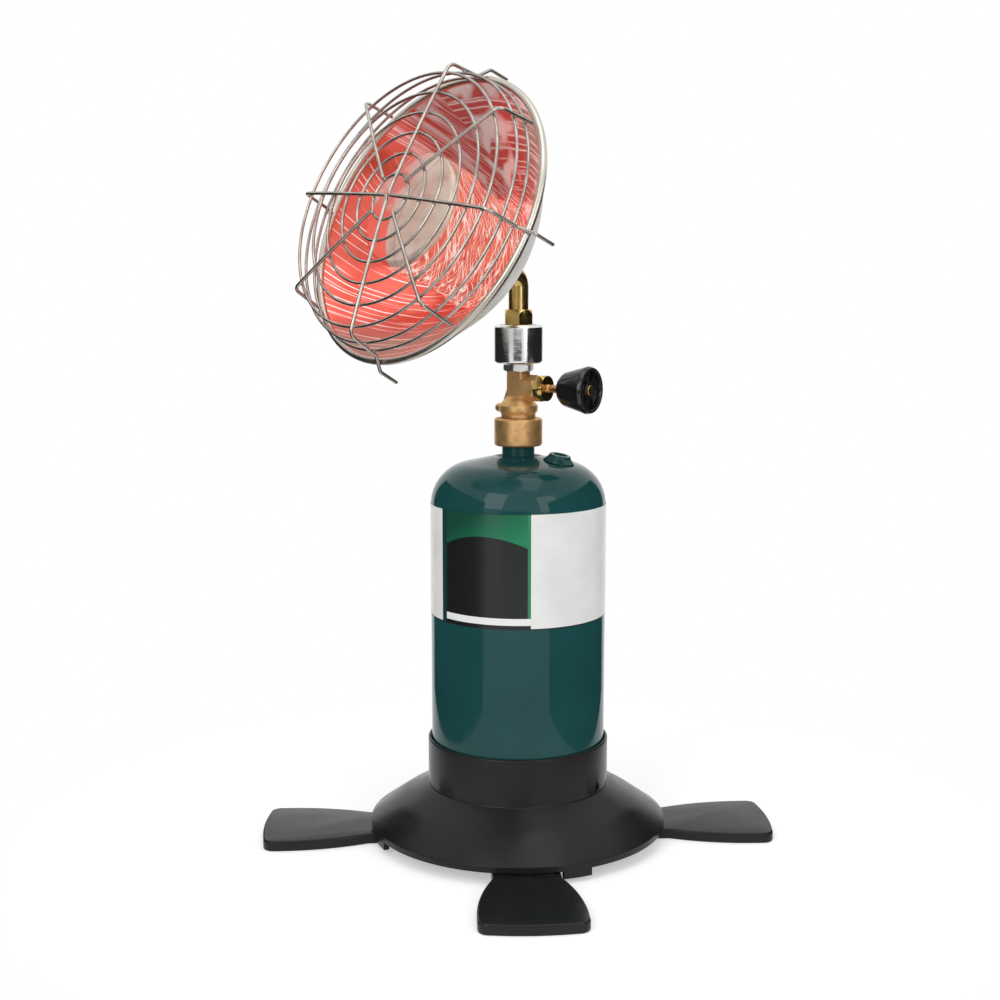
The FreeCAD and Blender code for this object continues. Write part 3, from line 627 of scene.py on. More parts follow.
def label_print():
    """Glossy printed film: plain white round most of the bottle, and one panel with a green top and a dark arch."""
    made, shader, place = new_finish("label_print", Roughness=0.30, Specular_IOR_Level=0.4)
    spot = put(place.tree, "ShaderNodeSeparateXYZ", {0: place})
    angle = Flow(spot.node, "Y").math("ARCTAN2", spot) * degrees(1)
    height = Flow(spot.node, "Z") * 1000.0
    across = (angle + 67.5) / 30.0
    arch = across * across * -6.4 + LABEL_ARCH_TOP
    green = shades(ranged(height + angle * -0.45, 0.0, 1.0, 225.0, 196.0),
                   (0.0, (0.004, 0.060, 0.036)), (1.0, (0.006, 0.200, 0.085)))
    panel = mixed(height.math("LESS_THAN", arch), green, (0.009, 0.010, 0.010))
    panel = mixed(between(height, *LABEL_STRIP), panel, (0.76, 0.77, 0.76))
    edge = between(angle, -38.6, LABEL_PANEL[1]) * height.math("GREATER_THAN", LABEL_STRIP[1])
    panel = mixed(edge, panel, (0.014, 0.20, 0.085))
    white = shades(ranged(noise(place, 60, 4), 0.0, 1.0), (0.0, (0.68, 0.68, 0.67)), (1.0, (0.76, 0.76, 0.75)))
    colour = mixed(between(angle, *LABEL_PANEL), white, panel)
    colour = mixed(between(angle, -101.5, LABEL_PANEL[0]), colour, (0.006, 0.040, 0.038))
    colour = mixed(height.math("LESS_THAN", LABEL_LOW + 0.6), colour, (0.010, 0.014, 0.014))
    wear(shader, Base_Color=colour, Normal=relief(noise(place, 900, 2), 0.05, 0.00008))
    return made


def dish_place(place):
    """Angle, radius, height, right and up over the dish's own axis, in radians and metres."""
    local = put(place.tree, "ShaderNodeMapping", {"Vector": place, "Location": DISH_CENTRE * MM,
                                                  "Rotation": (radians(90 - DISH_TILT), 0, 0)},
                vector_type="TEXTURE")
    x = put(place.tree, "ShaderNodeSeparateXYZ", {0: local})
    y, height = Flow(x.node, "Y"), Flow(x.node, "Z")
    angle = y.math("ARCTAN2", x)
    radius = (x * x + y * y).math("SQRT")
    return angle, radius, height, radius * angle.math("COSINE"), radius * angle.math("SINE")


def thin_lines(value, middle, width):
    """Mask of the narrow band where a smooth value passes its middle."""
    return ranged((value - middle).math("ABSOLUTE"), 1.0, 0.0, 0.0, width)


def plain_noise(place, detail):
    return put(place.tree, "ShaderNodeTexNoise", {"Vector": place, "Scale": 1.0, "Detail": detail})


def wrapped(angle, radius, around, outwards, shift=0.0):
    """Noise drawn out round an axis, without a seam: around and outwards are its steps per turn and per metre."""
    return plain_noise(vector(angle.tree, angle.math("COSINE") * around, angle.math("SINE") * around,
                              radius * outwards + shift), 2.0)


def mirror_with_painted_reflection():
    """Spun and polished inside of the dish, its light painted in: a painted reflection of the glowing burner that glows
    by itself, pale arcs of painted reflection across it and a greyer edge of painted room reflection.
    """
    made, shader, place = new_finish("dish_mirror_painted_reflection", Emission_Strength=0.9)
    angle, radius, _, right, up = dish_place(place)
    high_side = ranged(right + up, 0.0, 1.0, -0.01, 0.05)
    offset = vector(place.tree, right + ranged(high_side, 0.042, 0.0, 0.0, 1.0),
                    up + ranged(high_side, -0.045, 0.018, 0.0, 1.0))
    arc = put(place.tree, "ShaderNodeVectorMath", {0: offset}, "Value", operation="LENGTH")
    wander = wrapped(angle, radius, 1.2, 14.0)
    # painted reflection: pale arcs and streaks mirrored in the dish, put into both its colour and its emission
    pale = high_side * ranged(wrapped(angle, arc, 3.0, 70.0, 9.0), 0.0, 0.85, 0.50, 0.60)
    for count, shift, width, bend in ((210.0, 0.0, 0.09, 1.8), (330.0, 3.0, 0.13, 2.6), (120.0, 6.0, 0.06, 1.2)):
        turn = arc * count + wander * bend
        often = wrapped(angle, arc, 1.6, 110.0, shift) + high_side * 0.10
        painted_streak = thin_lines(turn.math("FRACT"), 0.5, width) * ranged(often, 0.0, 0.9, 0.51, 0.62)
        pale = pale.math("MAXIMUM", painted_streak)
    # painted reflection of the grey room along the dish's right and lower edge
    painted_grey_edge = ranged(right * 0.5 - up, 0.0, 1.0, 0.030, 0.056).math("MAXIMUM", ranged(right, 0.0, 1.0, 0.024, 0.046))
    bands = wrapped(angle, radius, 1.2, 75.0, 2.0)
    # painted reflection colours of the glowing burner, deep red on the lower side and paler on the high side
    low = shades(bands, (0.36, (0.36, 0.060, 0.048)), (0.60, (0.46, 0.100, 0.080)))
    high = shades(bands, (0.36, (0.40, 0.060, 0.058)), (0.62, (0.58, 0.25, 0.22)))
    painted_reflection_colour = mixed(painted_grey_edge, mixed(high_side, low, high), (0.29, 0.225, 0.185))
    # painted glow: the dish emits the light of its painted reflections
    painted_glow = mixed(painted_grey_edge, mixed(high_side, (0.38, 0.042, 0.024), (0.30, 0.042, 0.038)), (0.075, 0.068, 0.060))
    wear(shader, Base_Color=mixed(pale, painted_reflection_colour, (0.86, 0.78, 0.76)), Metallic=ranged(painted_grey_edge, 1.0, 0.25, 0.0, 1.0),
         Emission_Color=mixed(pale, painted_glow, (0.46, 0.36, 0.34)), Roughness=ranged(noise(place, 140, 5), 0.14, 0.26),
         Normal=relief(noise(place, 60, 2), 0.3, 0.0005))
    return made


def crinkled_wires(place, angle, height):
    """Painted red glow under long crinkled pale wires that run slantwise round the burner: colour and mask of the
    wires.
    """
    painted_red_glow = shades(noise(place, 95, 3), (0.30, (0.52, 0.050, 0.036)), (0.52, (0.70, 0.110, 0.070)),
                 (0.75, (0.76, 0.22, 0.15)))
    round_it = angle * 0.030
    crinkle = noise(place, 170, 2) * 1.1
    layers = []
    for lean, fine, shift in ((0.8, 330.0, 0.0), (0.1, 420.0, 5.0)):
        field = plain_noise(vector(place.tree, (round_it * lean - height) * fine + crinkle,
                                   (round_it + height * lean) * 26.0, shift), 0.0)
        layers.append(thin_lines(field, 0.51, 0.045))
    wires = layers[0].math("MAXIMUM", layers[1])
    return mixed(wires, painted_red_glow, (0.96, 0.76, 0.68)), wires


def glow():
    """Glowing red gauze, its glow painted into its emission."""
    made, shader, place = new_finish("glowing_gauze", Roughness=0.7, Base_Color=(0.10, 0.03, 0.02, 1),
                                     Emission_Strength=1.0)
    angle, _, height, _, _ = dish_place(place)
    colour, wires = crinkled_wires(place, angle, height)
    # painted glow: the gauze emits its own red and pale wire colours
    wear(shader, Emission_Color=colour, Normal=relief(wires, 0.4, 0.0004))
    return made


def lid_painted_reflection():
    """Stainless lid with a painted reflection of the red dish on its left and of the pale room on its right, over a
    side of painted glow from the gauze."""
    made, shader, place = new_finish("lid_painted_reflection", Emission_Strength=1.0)
    angle, radius, height, right, up = dish_place(place)
    front = ranged(height, 0.0, 1.0, 0.0085, 0.0105)
    drift = noise(place, 45, 3)
    lift = up + 0.007
    inside = right - (lift * lift * 16.0 + -0.0105) + drift * 0.003
    # painted reflection of the room: the mask of the right part of the lid's front
    room = ranged(inside, 0.0, 1.0, 0.0, 0.0016)
    # painted red reflection of the dish on the lower part of the lid's front
    low = ranged(up + right * 0.3, 0.0, 1.0, -0.004, -0.0065)
    # painted reflections: of the red dish on the left and of the pale room on the right, with a dark painted line
    # inside the room's
    painted_dish_reflection = shades(drift, (0.42, (0.70, 0.17, 0.14)), (0.48, (0.72, 0.40, 0.36)), (0.70, (0.74, 0.50, 0.45)))
    painted_room_reflection = shades(drift, (0.35, (0.62, 0.40, 0.32)), (0.60, (0.70, 0.56, 0.47)), (0.75, (0.76, 0.68, 0.60)))
    painted_room_reflection = mixed(thin_lines(inside, 0.0075, 0.0014) * 0.45, painted_room_reflection, (0.36, 0.20, 0.16))
    face = mixed(room, mixed(low, painted_dish_reflection, (0.66, 0.10, 0.07)), painted_room_reflection)
    # painted glow of the reflections on the front, and the gauze's painted glow on the side
    painted_glow = mixed(room, mixed(low, (0.10, 0.020, 0.016), (0.30, 0.030, 0.020)), (0.03, 0.014, 0.010))
    gauze, _ = crinkled_wires(place, angle, height)
    wear(shader, Base_Color=mixed(front, (0.10, 0.03, 0.02), face), Emission_Color=mixed(front, gauze, painted_glow),
         Metallic=front * 0.45, Roughness=ranged(noise(place, 90, 5), 0.22, 0.36),
         Normal=relief(wrapped(angle, radius, 0.6, 900.0), 0.15, 0.00008))
    return made


FINISHES = {
    "black": moulded_black(),
    "knob": knob_black(),
    "green": bottle_green(),
    "label": label_print(),
    "cast_brass": metal("cast_brass", [(0.62, 0.35, 0.13), (0.78, 0.48, 0.21)], (0.34, 0.48), 1800, 0.55, 0.00010,
                        tarnish=(0.24, 0.15, 0.06), metallic=0.75),
    "bright_brass": metal("bright_brass", [(0.56, 0.38, 0.12), (0.70, 0.50, 0.20)], (0.14, 0.26), 900, 0.12,
                          tarnish=(0.30, 0.20, 0.07)),
    "polished_brass": metal("polished_brass", [(0.50, 0.33, 0.10), (0.66, 0.47, 0.18)], (0.08, 0.16), 700, 0.12,
                            tarnish=(0.22, 0.15, 0.05)),
    "copper": metal("stem_copper", [(0.62, 0.33, 0.18), (0.74, 0.44, 0.26)], (0.18, 0.30), 900, 0.12),
    "zinc": metal("zinc_plate", [(0.60, 0.60, 0.59), (0.76, 0.76, 0.75)], (0.26, 0.42), 700, 0.3, patches=260),
    "chrome": metal("chrome_plate", [(0.70, 0.70, 0.70), (0.80, 0.80, 0.80)], (0.09, 0.16), 160, 0.30, 0.0002,
                    stretch=(1, 1, 14)),
    "rubber": moulded_black(),
    "mirror": mirror_with_painted_reflection(),
    "dish_back": metal("dish_back", [(0.78, 0.75, 0.70), (0.87, 0.84, 0.80)], (0.42, 0.52), 900, 0.10, patches=18),
    "rim": metal("rim_steel", [(0.48, 0.43, 0.37), (0.64, 0.59, 0.53)], (0.26, 0.36), 400, 0.10, patches=50),
    "cap": lid_painted_reflection(),
    "gauze": glow(),
    "wire": metal("nickel_wire", [(0.28, 0.25, 0.22), (0.52, 0.48, 0.44)], (0.18, 0.28), 700, 0.15, patches=120),
}

WIRE = wire_tree()
HOOPS = hoop_tree()
AROUND = around_tree()
WELDS = weld_tree()
GAUZE = gauze_tree()


# Bottle base

def at_feet(item, finish):
    return grown(item, AROUND, finish, Copies=len(FOOT_ANGLES), First_angle=FOOT_ANGLES[0])


def base_moulding():
    floor_low = CUP_FLOOR - 2.5
    skin = lathe("base_moulding", [
        (DRAIN_RADIUS, CUP_FLOOR, 0.4), (CUP_RADIUS, CUP_FLOOR, 0.8), (CUP_RADIUS, COLLAR_TOP, 0.5),
        (COLLAR_RADIUS, COLLAR_TOP, 1.0), (COLLAR_RADIUS, COLLAR_LOW + 0.6, 0.9), (SKIRT_MIDDLE, SKIRT_HEIGHT, 70),
        (RIM_RADIUS, RIM_HIGH, 0.6), (RIM_RADIUS, RIM_LOW, 0.5), (RIM_RADIUS - SKIRT_WALL, RIM_LOW, 0.3),
        (RIM_RADIUS - SKIRT_WALL, RIM_HIGH - SKIRT_WALL * 0.7), (SKIRT_MIDDLE, SKIRT_HEIGHT - SKIRT_WALL * 1.15, 70),
        (COLLAR_RADIUS, COLLAR_LOW - SKIRT_WALL * 1.3), (COLLAR_RADIUS, floor_low, 0.4),
        (DRAIN_RADIUS, floor_low, 0.4)], around=192)
    start = CUP_RADIUS + 0.8
    inside = lathe("under", [
        (start, 0), (RIM_RADIUS - 1.2, 0), (RIM_RADIUS - 1.2, RIM_HIGH - 1.2),
        (SKIRT_MIDDLE, SKIRT_HEIGHT - 1.4, 70), (COLLAR_RADIUS, COLLAR_LOW - 1.2), (start, COLLAR_LOW - 1.2)],
        around=96)
    rib = brick("rib", (start, -0.9, RIM_LOW + 0.6), (RIM_RADIUS, 0.9, COLLAR_LOW))
    ribs = grown(rib, AROUND, "black", Copies=8, First_angle=FOOT_ANGLES[0] + 22.5)
    boss_low = FOOT_HIGH + 0.3
    boss = lathe("boss", [(0, boss_low), (6.5, boss_low, 0.3), (6.5, COLLAR_LOW), (0, COLLAR_LOW)], around=40)
    webs = kept_inside(joined(ribs, at_feet(shifted(boss, FOOT_PIVOT, 0, 0), "black")), inside)
    inner = RIM_RADIUS - SKIRT_WALL - 1
    neck_angle = degrees(asin((FOOT_NECK / 2 + 0.7) / inner))
    stop = lathe("stop", [(inner, 2.6, 0.3), (RIM_RADIUS, 2.6, 0.6), (RIM_RADIUS, RIM_LOW + 1), (inner, RIM_LOW + 1)],
                 around=12, arc=(neck_angle, neck_angle + 11))
    fused(skin, at_feet(stop, "black"))
    weep = [polar(1.9, radians(tick)) for tick in range(-208, 29, 12)] + [(0.0, 3.7)]
    hole = spun(spun(prism("teardrop", weep, -4, 4), 90, "X"), 90)
    cut(skin, spun(shifted(hole, CUP_RADIUS, 0, COLLAR_LOW + 3.8), 15.8))
    screw_hole = shifted(stepped("hole", 24, 5.6, (SCREW_HOLE, 12.9)), FOOT_PIVOT, 0, 0)
    cut(webs, at_feet(screw_hole, "black"))
    joined(skin, webs)
    finished(skin, "base", "black_plastic", "black", "base_body")


def foot_outline():
    """Half-symmetrical paddle outline about the foot's pivot, +X outwards."""
    neck = FOOT_NECK / 2
    half = FOOT_WIDTH / 2
    neck_end = RIM_RADIUS + 1.6 - FOOT_PIVOT
    bow = ((FOOT_SHOULDER - neck_end) ** 2 + (half - neck) ** 2) / (2 * (half - neck))
    side = []
    for tick in range(13):
        x = neck_end + (FOOT_SHOULDER - neck_end) * tick / 12
        side.append((x, half - bow + sqrt(bow ** 2 - (FOOT_SHOULDER - x) ** 2)))
    edge_x = sqrt(FOOT_REACH ** 2 - half ** 2) - FOOT_PIVOT
    slope = half / FOOT_REACH
    corner = rounded([(FOOT_SHOULDER, half), (edge_x, half, 6.0), (edge_x + slope * half, 0)])[1:-1]
    side += [(point.x, point.y) for point in corner]
    tip_angle = atan2(side[-1][1], side[-1][0] + FOOT_PIVOT)
    front = [(x - FOOT_PIVOT, y) for x, y in (polar(FOOT_REACH, tip_angle * tick / 10) for tick in range(9, -10, -1))]
    mirror = [(x, -y) for x, y in reversed(side)]
    back = [polar(neck, radians(tick)) for tick in range(-90, -271, -10)]
    return side + front + mirror + back


def foot(side, angle):
    plate = bevelled(prism("paddle_" + side, foot_outline(), 0, FOOT_THICKNESS), 1.2, 4, 50)
    fused(plate, lathe("hub", [(0, 3), (9.0, 3), (9.0, FOOT_HIGH, 0.2), (0, FOOT_HIGH)], around=48))
    cut(plate, stepped("bore", 36, -1, (4.9, 3.25), (SCREW_HOLE, 10)))
    shifted(plate, FOOT_PIVOT, 0, 0)
    finished(spun(plate, angle), side + "_foot", "black_plastic", "black", "foot_" + side)


def foot_screws():
    screw = lathe("pivot_screws", [(0, 0.8), (4.6, 0.8, 0.8), (4.6, 3.2, 0.2), (2.5, 3.2), (2.5, 12.4, 0.6), (0, 12.4)],
                  around=36)
    cut(screw, brick("slot", (-5, -0.6, 0), (5, 0.6, 1.8)))
    at_feet(shifted(screw, FOOT_PIVOT, 0, 0), "zinc")
    finished(screw, "base", "zinc", "zinc", "foot_screws")


# Gas bottle

def bottle():
    inner = BOTTLE_RADIUS - 1
    low = CUP_FLOOR
    upper = lathe("bottle_top_half", [
        (BOTTLE_RADIUS, WELD), (BOTTLE_RADIUS, SHOULDER, 24), (NECK_CREASE, CROWN, 1.0), (9.2, CROWN - 2),
        (9.2, CROWN - 3),
        (NECK_CREASE, CROWN - 1, 1.0), (inner, SHOULDER - 1, 23), (inner, WELD)], around=192, step=4)
    finished(upper, "bottle", "bottle_paint", "green", "bottle_upper_shell")
    lower = lathe("bottle_bottom_half", [
        (BOTTLE_RADIUS, WELD), (BOTTLE_RADIUS, low, 9), (35, low, 3), (28, low + 5, 4), (0, low + 6.5), (0, low + 7.5),
        (27.6, low + 6, 4), (34.6, low + 1, 3), (inner, low + 1, 8), (inner, WELD)], around=192)
    finished(lower, "bottle", "bottle_paint", "green", "bottle_lower_shell")
    label = lathe("label_film", [(49.35, LABEL_LOW), (49.5, LABEL_LOW), (49.5, LABEL_HIGH), (49.35, LABEL_HIGH)],
                  around=192)
    finished(label, "bottle", "label", "label", "label_wrap")

    def thread(angle, height):
        if not THREAD_LOW < height < NECK_TOP - 0.7:
            return 0
        phase = (height / THREAD_PITCH - angle / tau) % 1
        fade = min(1, (height - THREAD_LOW) / 1.2, (NECK_TOP - 0.7 - height) / 1.2)
        return -0.62 * fade * (1 - min(1, 1.6 * abs(2 * phase - 1)))

    outside = [(THREAD_RADIUS, THREAD_LOW + step * (NECK_TOP - 0.6 - THREAD_LOW) / 56) for step in range(56)]
    neck = lathe("threaded_neck", [
        (4.2, NECK_LOW - 3), (12.2, NECK_LOW - 3), (12.2, NECK_LOW - 0.4, 1.0), (9.18, NECK_LOW),
        (9.18, NECK_HIGH, 0.5)] + outside + [(THREAD_RADIUS, NECK_TOP, 0.5), (4.2, NECK_TOP, 0.3)],
        around=96, bump=thread)
    finished(neck, "bottle", "bottle_paint", "green", "bottle_neck", sharp=60)
    core = lathe("valve_insert", [
        (0, NECK_TOP - 18.4), (4.15, NECK_TOP - 18.4), (4.15, NECK_TOP - 4, 0.5), (0.9, NECK_TOP - 4),
        (0.9, NECK_TOP - 2.6, 0.3), (0, NECK_TOP - 2.6)], around=40)
    finished(core, "bottle", "brass", "bright_brass", "valve_core")
    relief_cap = lathe("relief_cap", [
        (0, 0), (8.8, 0), (8.8, 0.5, 0.3), (6.4, 2.6, 2.0), (5.9, 4.2, 0.8), (3.9, 4.2, 0.3), (3.9, 3.3, 0.3),
        (0, 3.3)], around=72)
    fall = (CROWN - SHOULDER) / (BOTTLE_RADIUS - NECK_CREASE)
    relief_cap.data.transform(Matrix.Rotation(atan(fall), 4, "Y"))
    shifted(relief_cap, 24.5, 0, CROWN - fall * 11 + 0.02)
    finished(spun(relief_cap, 22.0), "bottle", "bottle_paint", "green", "relief_valve")


# Inlet and valve

def inlet():
    collar = lathe("inlet_ring", [
        (11.08, INLET_LOW, 0.4), (13.45, INLET_LOW, 1.5), (13.45, INLET_HIGH, 1.6), (8.05, INLET_HIGH, 0.3),
        (8.05, INLET_ROOF), (11.08, INLET_ROOF)], around=120)
    finished(collar, "heater", "brass", "cast_brass", "inlet_collar")
    low = NECK_TOP + 0.05
    seal = lathe("inlet_washer", [(4.0, low, 0.2), (10.6, low, 0.2), (10.6, low + 1.4, 0.2), (4.0, low + 1.4, 0.2)],
                 around=64)
    finished(seal, "seal", "seal_rubber", "rubber", "inlet_seal")
    pin = lathe("opening_pin", [(0, NECK_TOP - 2.4), (1.0, NECK_TOP - 2.4, 0.4), (1.0, INLET_ROOF + 2),
                                (2.45, INLET_ROOF + 2), (2.45, INLET_ROOF + 4), (0, INLET_ROOF + 4)], around=32)
    finished(pin, "heater", "brass", "bright_brass", "depressor_pin")


def flared_square():
    """Round at the flange, flaring to a square block with softened corners."""
    maker = bmesh.new()
    levels = []
    for height, squareness in ((FLANGE_HIGH - 0.3, 0.0), (FLANGE_HIGH + 0.7, 0.45), (BLOCK_LOW - 0.4, 0.9),
                               (BLOCK_LOW, 1.0), (BLOCK_HIGH, 1.0)):
        ring = []
        for step in range(64):
            angle = tau * (step + 0.5) / 64
            c, s = cos(angle), sin(angle)
            corner = min(5.0 / max(abs(c), abs(s)), 6.6)
            reach = 7.9 * (1 - squareness) + corner * squareness
            ring.append(maker.verts.new((reach * c, reach * s, height)))
        levels.append(ring)
    for lower, upper in zip(levels, levels[1:]):
        for step in range(64):
            after = (step + 1) % 64
            maker.faces.new([lower[step], lower[after], upper[after], upper[step]])
    maker.faces.new(list(reversed(levels[0])))
    maker.faces.new(levels[-1])
    return new_object("block", maker)


def valve():
    body = lathe("valve_casting", [
        (0, INLET_ROOF), (8.0, INLET_ROOF), (8.0, INLET_HIGH + 0.1), (9.6, INLET_HIGH + 0.1), (9.6, FLANGE_LOW, 0.4),
        (10.9, FLANGE_LOW + 2.2, 0.8), (10.9, FLANGE_HIGH - 3.4, 1.2), (8.0, FLANGE_HIGH, 0.6), (0, FLANGE_HIGH)],
        around=96)
    block = spun(flared_square(), KNOB_TURN)
    boss = moved(spun(hexagon("boss", 12.8, 4.6, 13.4, (0.9, 0.9)), 30), ON_SPINDLE)
    spigot = moved(stepped("spigot", 48, 12.9, (5.0, 17.8)), ON_SPINDLE)
    lug = lathe("lug", [(0, 0), (2.5, 0), (2.5, 15.0, 2.4), (0, 15.0)], around=40)
    spun(lug, -90, "Y")
    shifted(lug, 0, 0, FLANGE_LOW + 3.2)
    web = prism("web", [(0, FLANGE_HIGH - 1), (-8.6, FLANGE_HIGH - 1), (-5.0, FLANGE_HIGH + 9), (0, FLANGE_HIGH + 9)],
                -2.5, 2.5)
    spun(web, 90, "X")
    fused(body, block, boss, spigot, spun(lug, KNOB_TURN), spun(web, KNOB_TURN))
    cast(body, 0.26, 3)
    finished(body, "heater", "brass", "cast_brass", "valve_body", sharp=60)
    nut = hexagon("gland", 14.0, 13.45, 19.05, (0.8, 2.6), 0.25)
    cut(nut, stepped("bore", 40, 12, (5.05, 18.05), (2.35, 20)))
    finished(nut, "heater", "brass", "polished_brass", "gland_nut", place=ON_SPINDLE)
    stem = lathe("spindle", [(0, 2.9), (0.6, 2.9), (2.3, 5.9), (2.3, 19.4), (2.3, 20.0, 0.3), (1.9, 20.6), (1.9, 21.4),
                             (2.3, 22.0, 0.3), (2.3, 40.5, 0.4), (0, 40.5)], around=40)
    finished(stem, "knob", "brass", "copper", "valve_stem", place=ON_SPINDLE)


def knob():
    shell = lathe("knob_shell", [
        (2.35, 28.6), (7.4, 28.6, 1.6), (9.4, 31.2, 2.5), (13.1, 45.0, 1.5), (12.3, 47.2, 0.7), (10.8, 47.2, 0.5),
        (10.0, 44.0, 0.4), (4.7, 44.0, 0.4), (4.7, 45.6, 0.4), (1.6, 45.6), (1.6, 40.6), (2.35, 40.6)], around=120)
    rib = bevelled(brick("rib", (4.3, -0.55, 43.5), (10.4, 0.55, 45.9)), 0.3, 2)
    fused(shell, grown(rib, AROUND, "knob", Copies=6, First_angle=30.0))
    finished(shell, "knob", "knob_plastic", "knob", "control_knob", place=ON_SPINDLE)
    screw = lathe("knob_fixing", [(0, 40.6), (1.5, 40.6), (1.5, 45.62), (2.9, 45.62), (2.9, 46.5, 0.5), (0, 47.0)],
                  around=40)
    cut(screw, brick("slot", (-4, -0.35, 46.3), (4, 0.35, 48)), brick("cross", (-0.35, -4, 46.3), (0.35, 4, 48)))
    finished(screw, "knob", "brass", "bright_brass", "knob_screw", place=ON_SPINDLE)


# Jet, shroud and tube

def mixing_parts():
    fitting = hexagon("jet_hexagon", 14.6, BLOCK_HIGH, JET_HIGH, (0.7, 0.7))
    spigot = lathe("spigot", [(0, JET_HIGH - 0.5), (4.0, JET_HIGH - 0.5), (4.0, JET_HIGH + 6, 0.3), (0, JET_HIGH + 6)],
                   around=48)
    cut(fused(fitting, spigot), stepped("bore", 32, BLOCK_HIGH - 1, (2.5, JET_HIGH + 8)))
    finished(spun(fitting, KNOB_TURN + 12), "heater", "zinc", "zinc", "jet_fitting")
    top = JET_HIGH + 6.05
    jet = lathe("gas_nozzle", [
        (0.4, JET_HIGH + 2), (2.45, JET_HIGH + 2), (2.45, top), (3.2, top), (3.2, top + 1.35, 0.4), (1.4, top + 2.55),
        (0.4, top + 2.55)], around=36)
    finished(jet, "heater", "brass", "bright_brass", "gas_jet")
    inner = SHROUD_RADIUS - 1.0
    shroud = lathe("shroud_cup", [
        (SPIGOT_HOLE, JET_HIGH), (SHROUD_RADIUS, JET_HIGH, 2.2), (SHROUD_RADIUS, SHROUD_HIGH, 2.2),
        (SHROUD_RADIUS - 3.0, SHROUD_HIGH, 0.3), (SHROUD_RADIUS - 3.0, SHROUD_HIGH - 1.0, 0.3),
        (inner, SHROUD_HIGH - 1.0, 1.2), (inner, JET_HIGH + 1.0, 1.2), (SPIGOT_HOLE, JET_HIGH + 1.0)], around=160)
    finished(shroud, "heater", "chrome", "chrome", "air_shroud")
    low = JET_HIGH + 1.0
    barrel = lathe("mixer", [(0, low), (6.8, low, 0.3), (6.8, MIXER_LOW + 0.6), (0, MIXER_LOW + 0.6)], around=72)
    head = spun(hexagon("head", 15.0, MIXER_LOW, MIXER_HIGH, (0.8, 2.6), 0.2), KNOB_TURN - 25)
    fused(barrel, head)
    tools = [stepped("bore", 48, low - 1, (SPIGOT_HOLE, MIXER_LOW), (4.6, MIXER_HIGH - 6), (TUBE_HOLE, MIXER_HIGH + 1))]
    for index in range(2):
        hole = spun(stepped("air_hole", 32, -12, (2.4, 12)), 90, "Y")
        tools.append(spun(shifted(hole, 0, 0, low + 11), KNOB_TURN + 90 * index))
    finished(cut(barrel, *tools), "heater", "brass", "polished_brass", "mixer_body")


def bend_points(start, heading, steps):
    """Points of a bent wire in its own plane: a step is (length,) or (bend radius, turn in degrees)."""
    place = Vector(start)
    angle = radians(heading)
    points = [place.copy()]
    for step in steps:
        if len(step) == 1:
            place = place + Vector(polar(1, angle)) * step[0]
            points.append(place.copy())
            continue
        radius, turn = step[0], radians(step[1])
        side = 1 if turn > 0 else -1
        count = max(8, ceil(abs(step[1]) / 6))
        centre = place + Vector((-sin(angle), cos(angle))) * radius * side
        arm = place - centre
        for tick in range(1, count + 1):
            part = turn * tick / count
            points.append(centre + swung(arm, part))
        angle += turn
        place = points[-1].copy()
    return points


def path_object(name, paths):
    """Drawn paths, each a list of points, as edges ready for a wire tree."""
    verts = []
    edges = []
    for path in paths:
        first = len(verts)
        verts += [tuple(point) for point in path]
        edges += [(first + index, first + index + 1) for index in range(len(path) - 1)]
    mesh = bpy.data.meshes.new(name)
    mesh.from_pydata(verts, edges, [])
    return linked(name, mesh)


def tube():
    tilt = radians(DISH_TILT)
    distance = -DISH_CENTRE.y / cos(tilt)
    crossing = DISH_CENTRE.z - distance * sin(tilt)
    turn = 90 - DISH_TILT
    tangent = TUBE_BEND * tan(radians(turn / 2))
    start = MIXER_HIGH - 5.95
    path = bend_points((0, start), 90, [(crossing - tangent - start,), (TUBE_BEND, -turn),
                                        (distance - tangent - DISH_DEPTH + 4.0,)])
    pipe = path_object("mixing_tube", [[(0, -point.x, point.y) for point in path]])
    grown(pipe, WIRE, "bright_brass", Wire_radius=TUBE_RADIUS, Sides=56)
    finished(pipe, "heater", "brass", "bright_brass", "burner_tube", sharp=50)


# Dish and burner

def dish_height(radius):
    return -DISH_DEPTH * (1 - (radius / DISH_RADIUS) ** 2)


def dish():
    hole = TUBE_RADIUS + 0.05
    inside, outside = [], []
    for step in range(DISH_STEPS + 1):
        radius = hole + (DISH_RADIUS - hole) * step / DISH_STEPS
        slope = hypot(1, 2 * DISH_DEPTH * radius / DISH_RADIUS ** 2)
        inside.append((radius, dish_height(radius)))
        outside.append((radius, dish_height(radius) - DISH_WALL * slope))
    bowl = lathe("dish_bowl", inside + outside[::-1], around=192)
    mesh = bowl.data
    mesh.materials.append(FINISHES["mirror"])
    mesh.materials.append(FINISHES["dish_back"])
    for face in mesh.polygons:
        inward = face.normal.x * face.center.x + face.normal.y * face.center.y
        face.material_index = 0 if inward < 0 else 1
    finished(bowl, "heater", "dish_steel", None, "reflector_bowl", place=ON_DISH)
    bead = [(DISH_RADIUS + 1 + 2 * cos(radians(tick)), 2 * sin(radians(tick)))
            for tick in range(0, 360, 18)]
    finished(lathe("rolled_rim", bead, around=192), "heater", "rim_steel", "rim", "reflector_rim",
             place=ON_DISH, sharp=60)
    high = dish_height(TUBE_RADIUS + 3) - DISH_WALL - 0.5
    nut = hexagon("clamp_nut", 18.2, high - 5, high, (1.0, 1.0))
    cut(nut, stepped("bore", 40, high - 7, (TUBE_HOLE, high + 1)))
    finished(nut, "heater", "brass", "bright_brass", "tube_nut", place=ON_DISH)


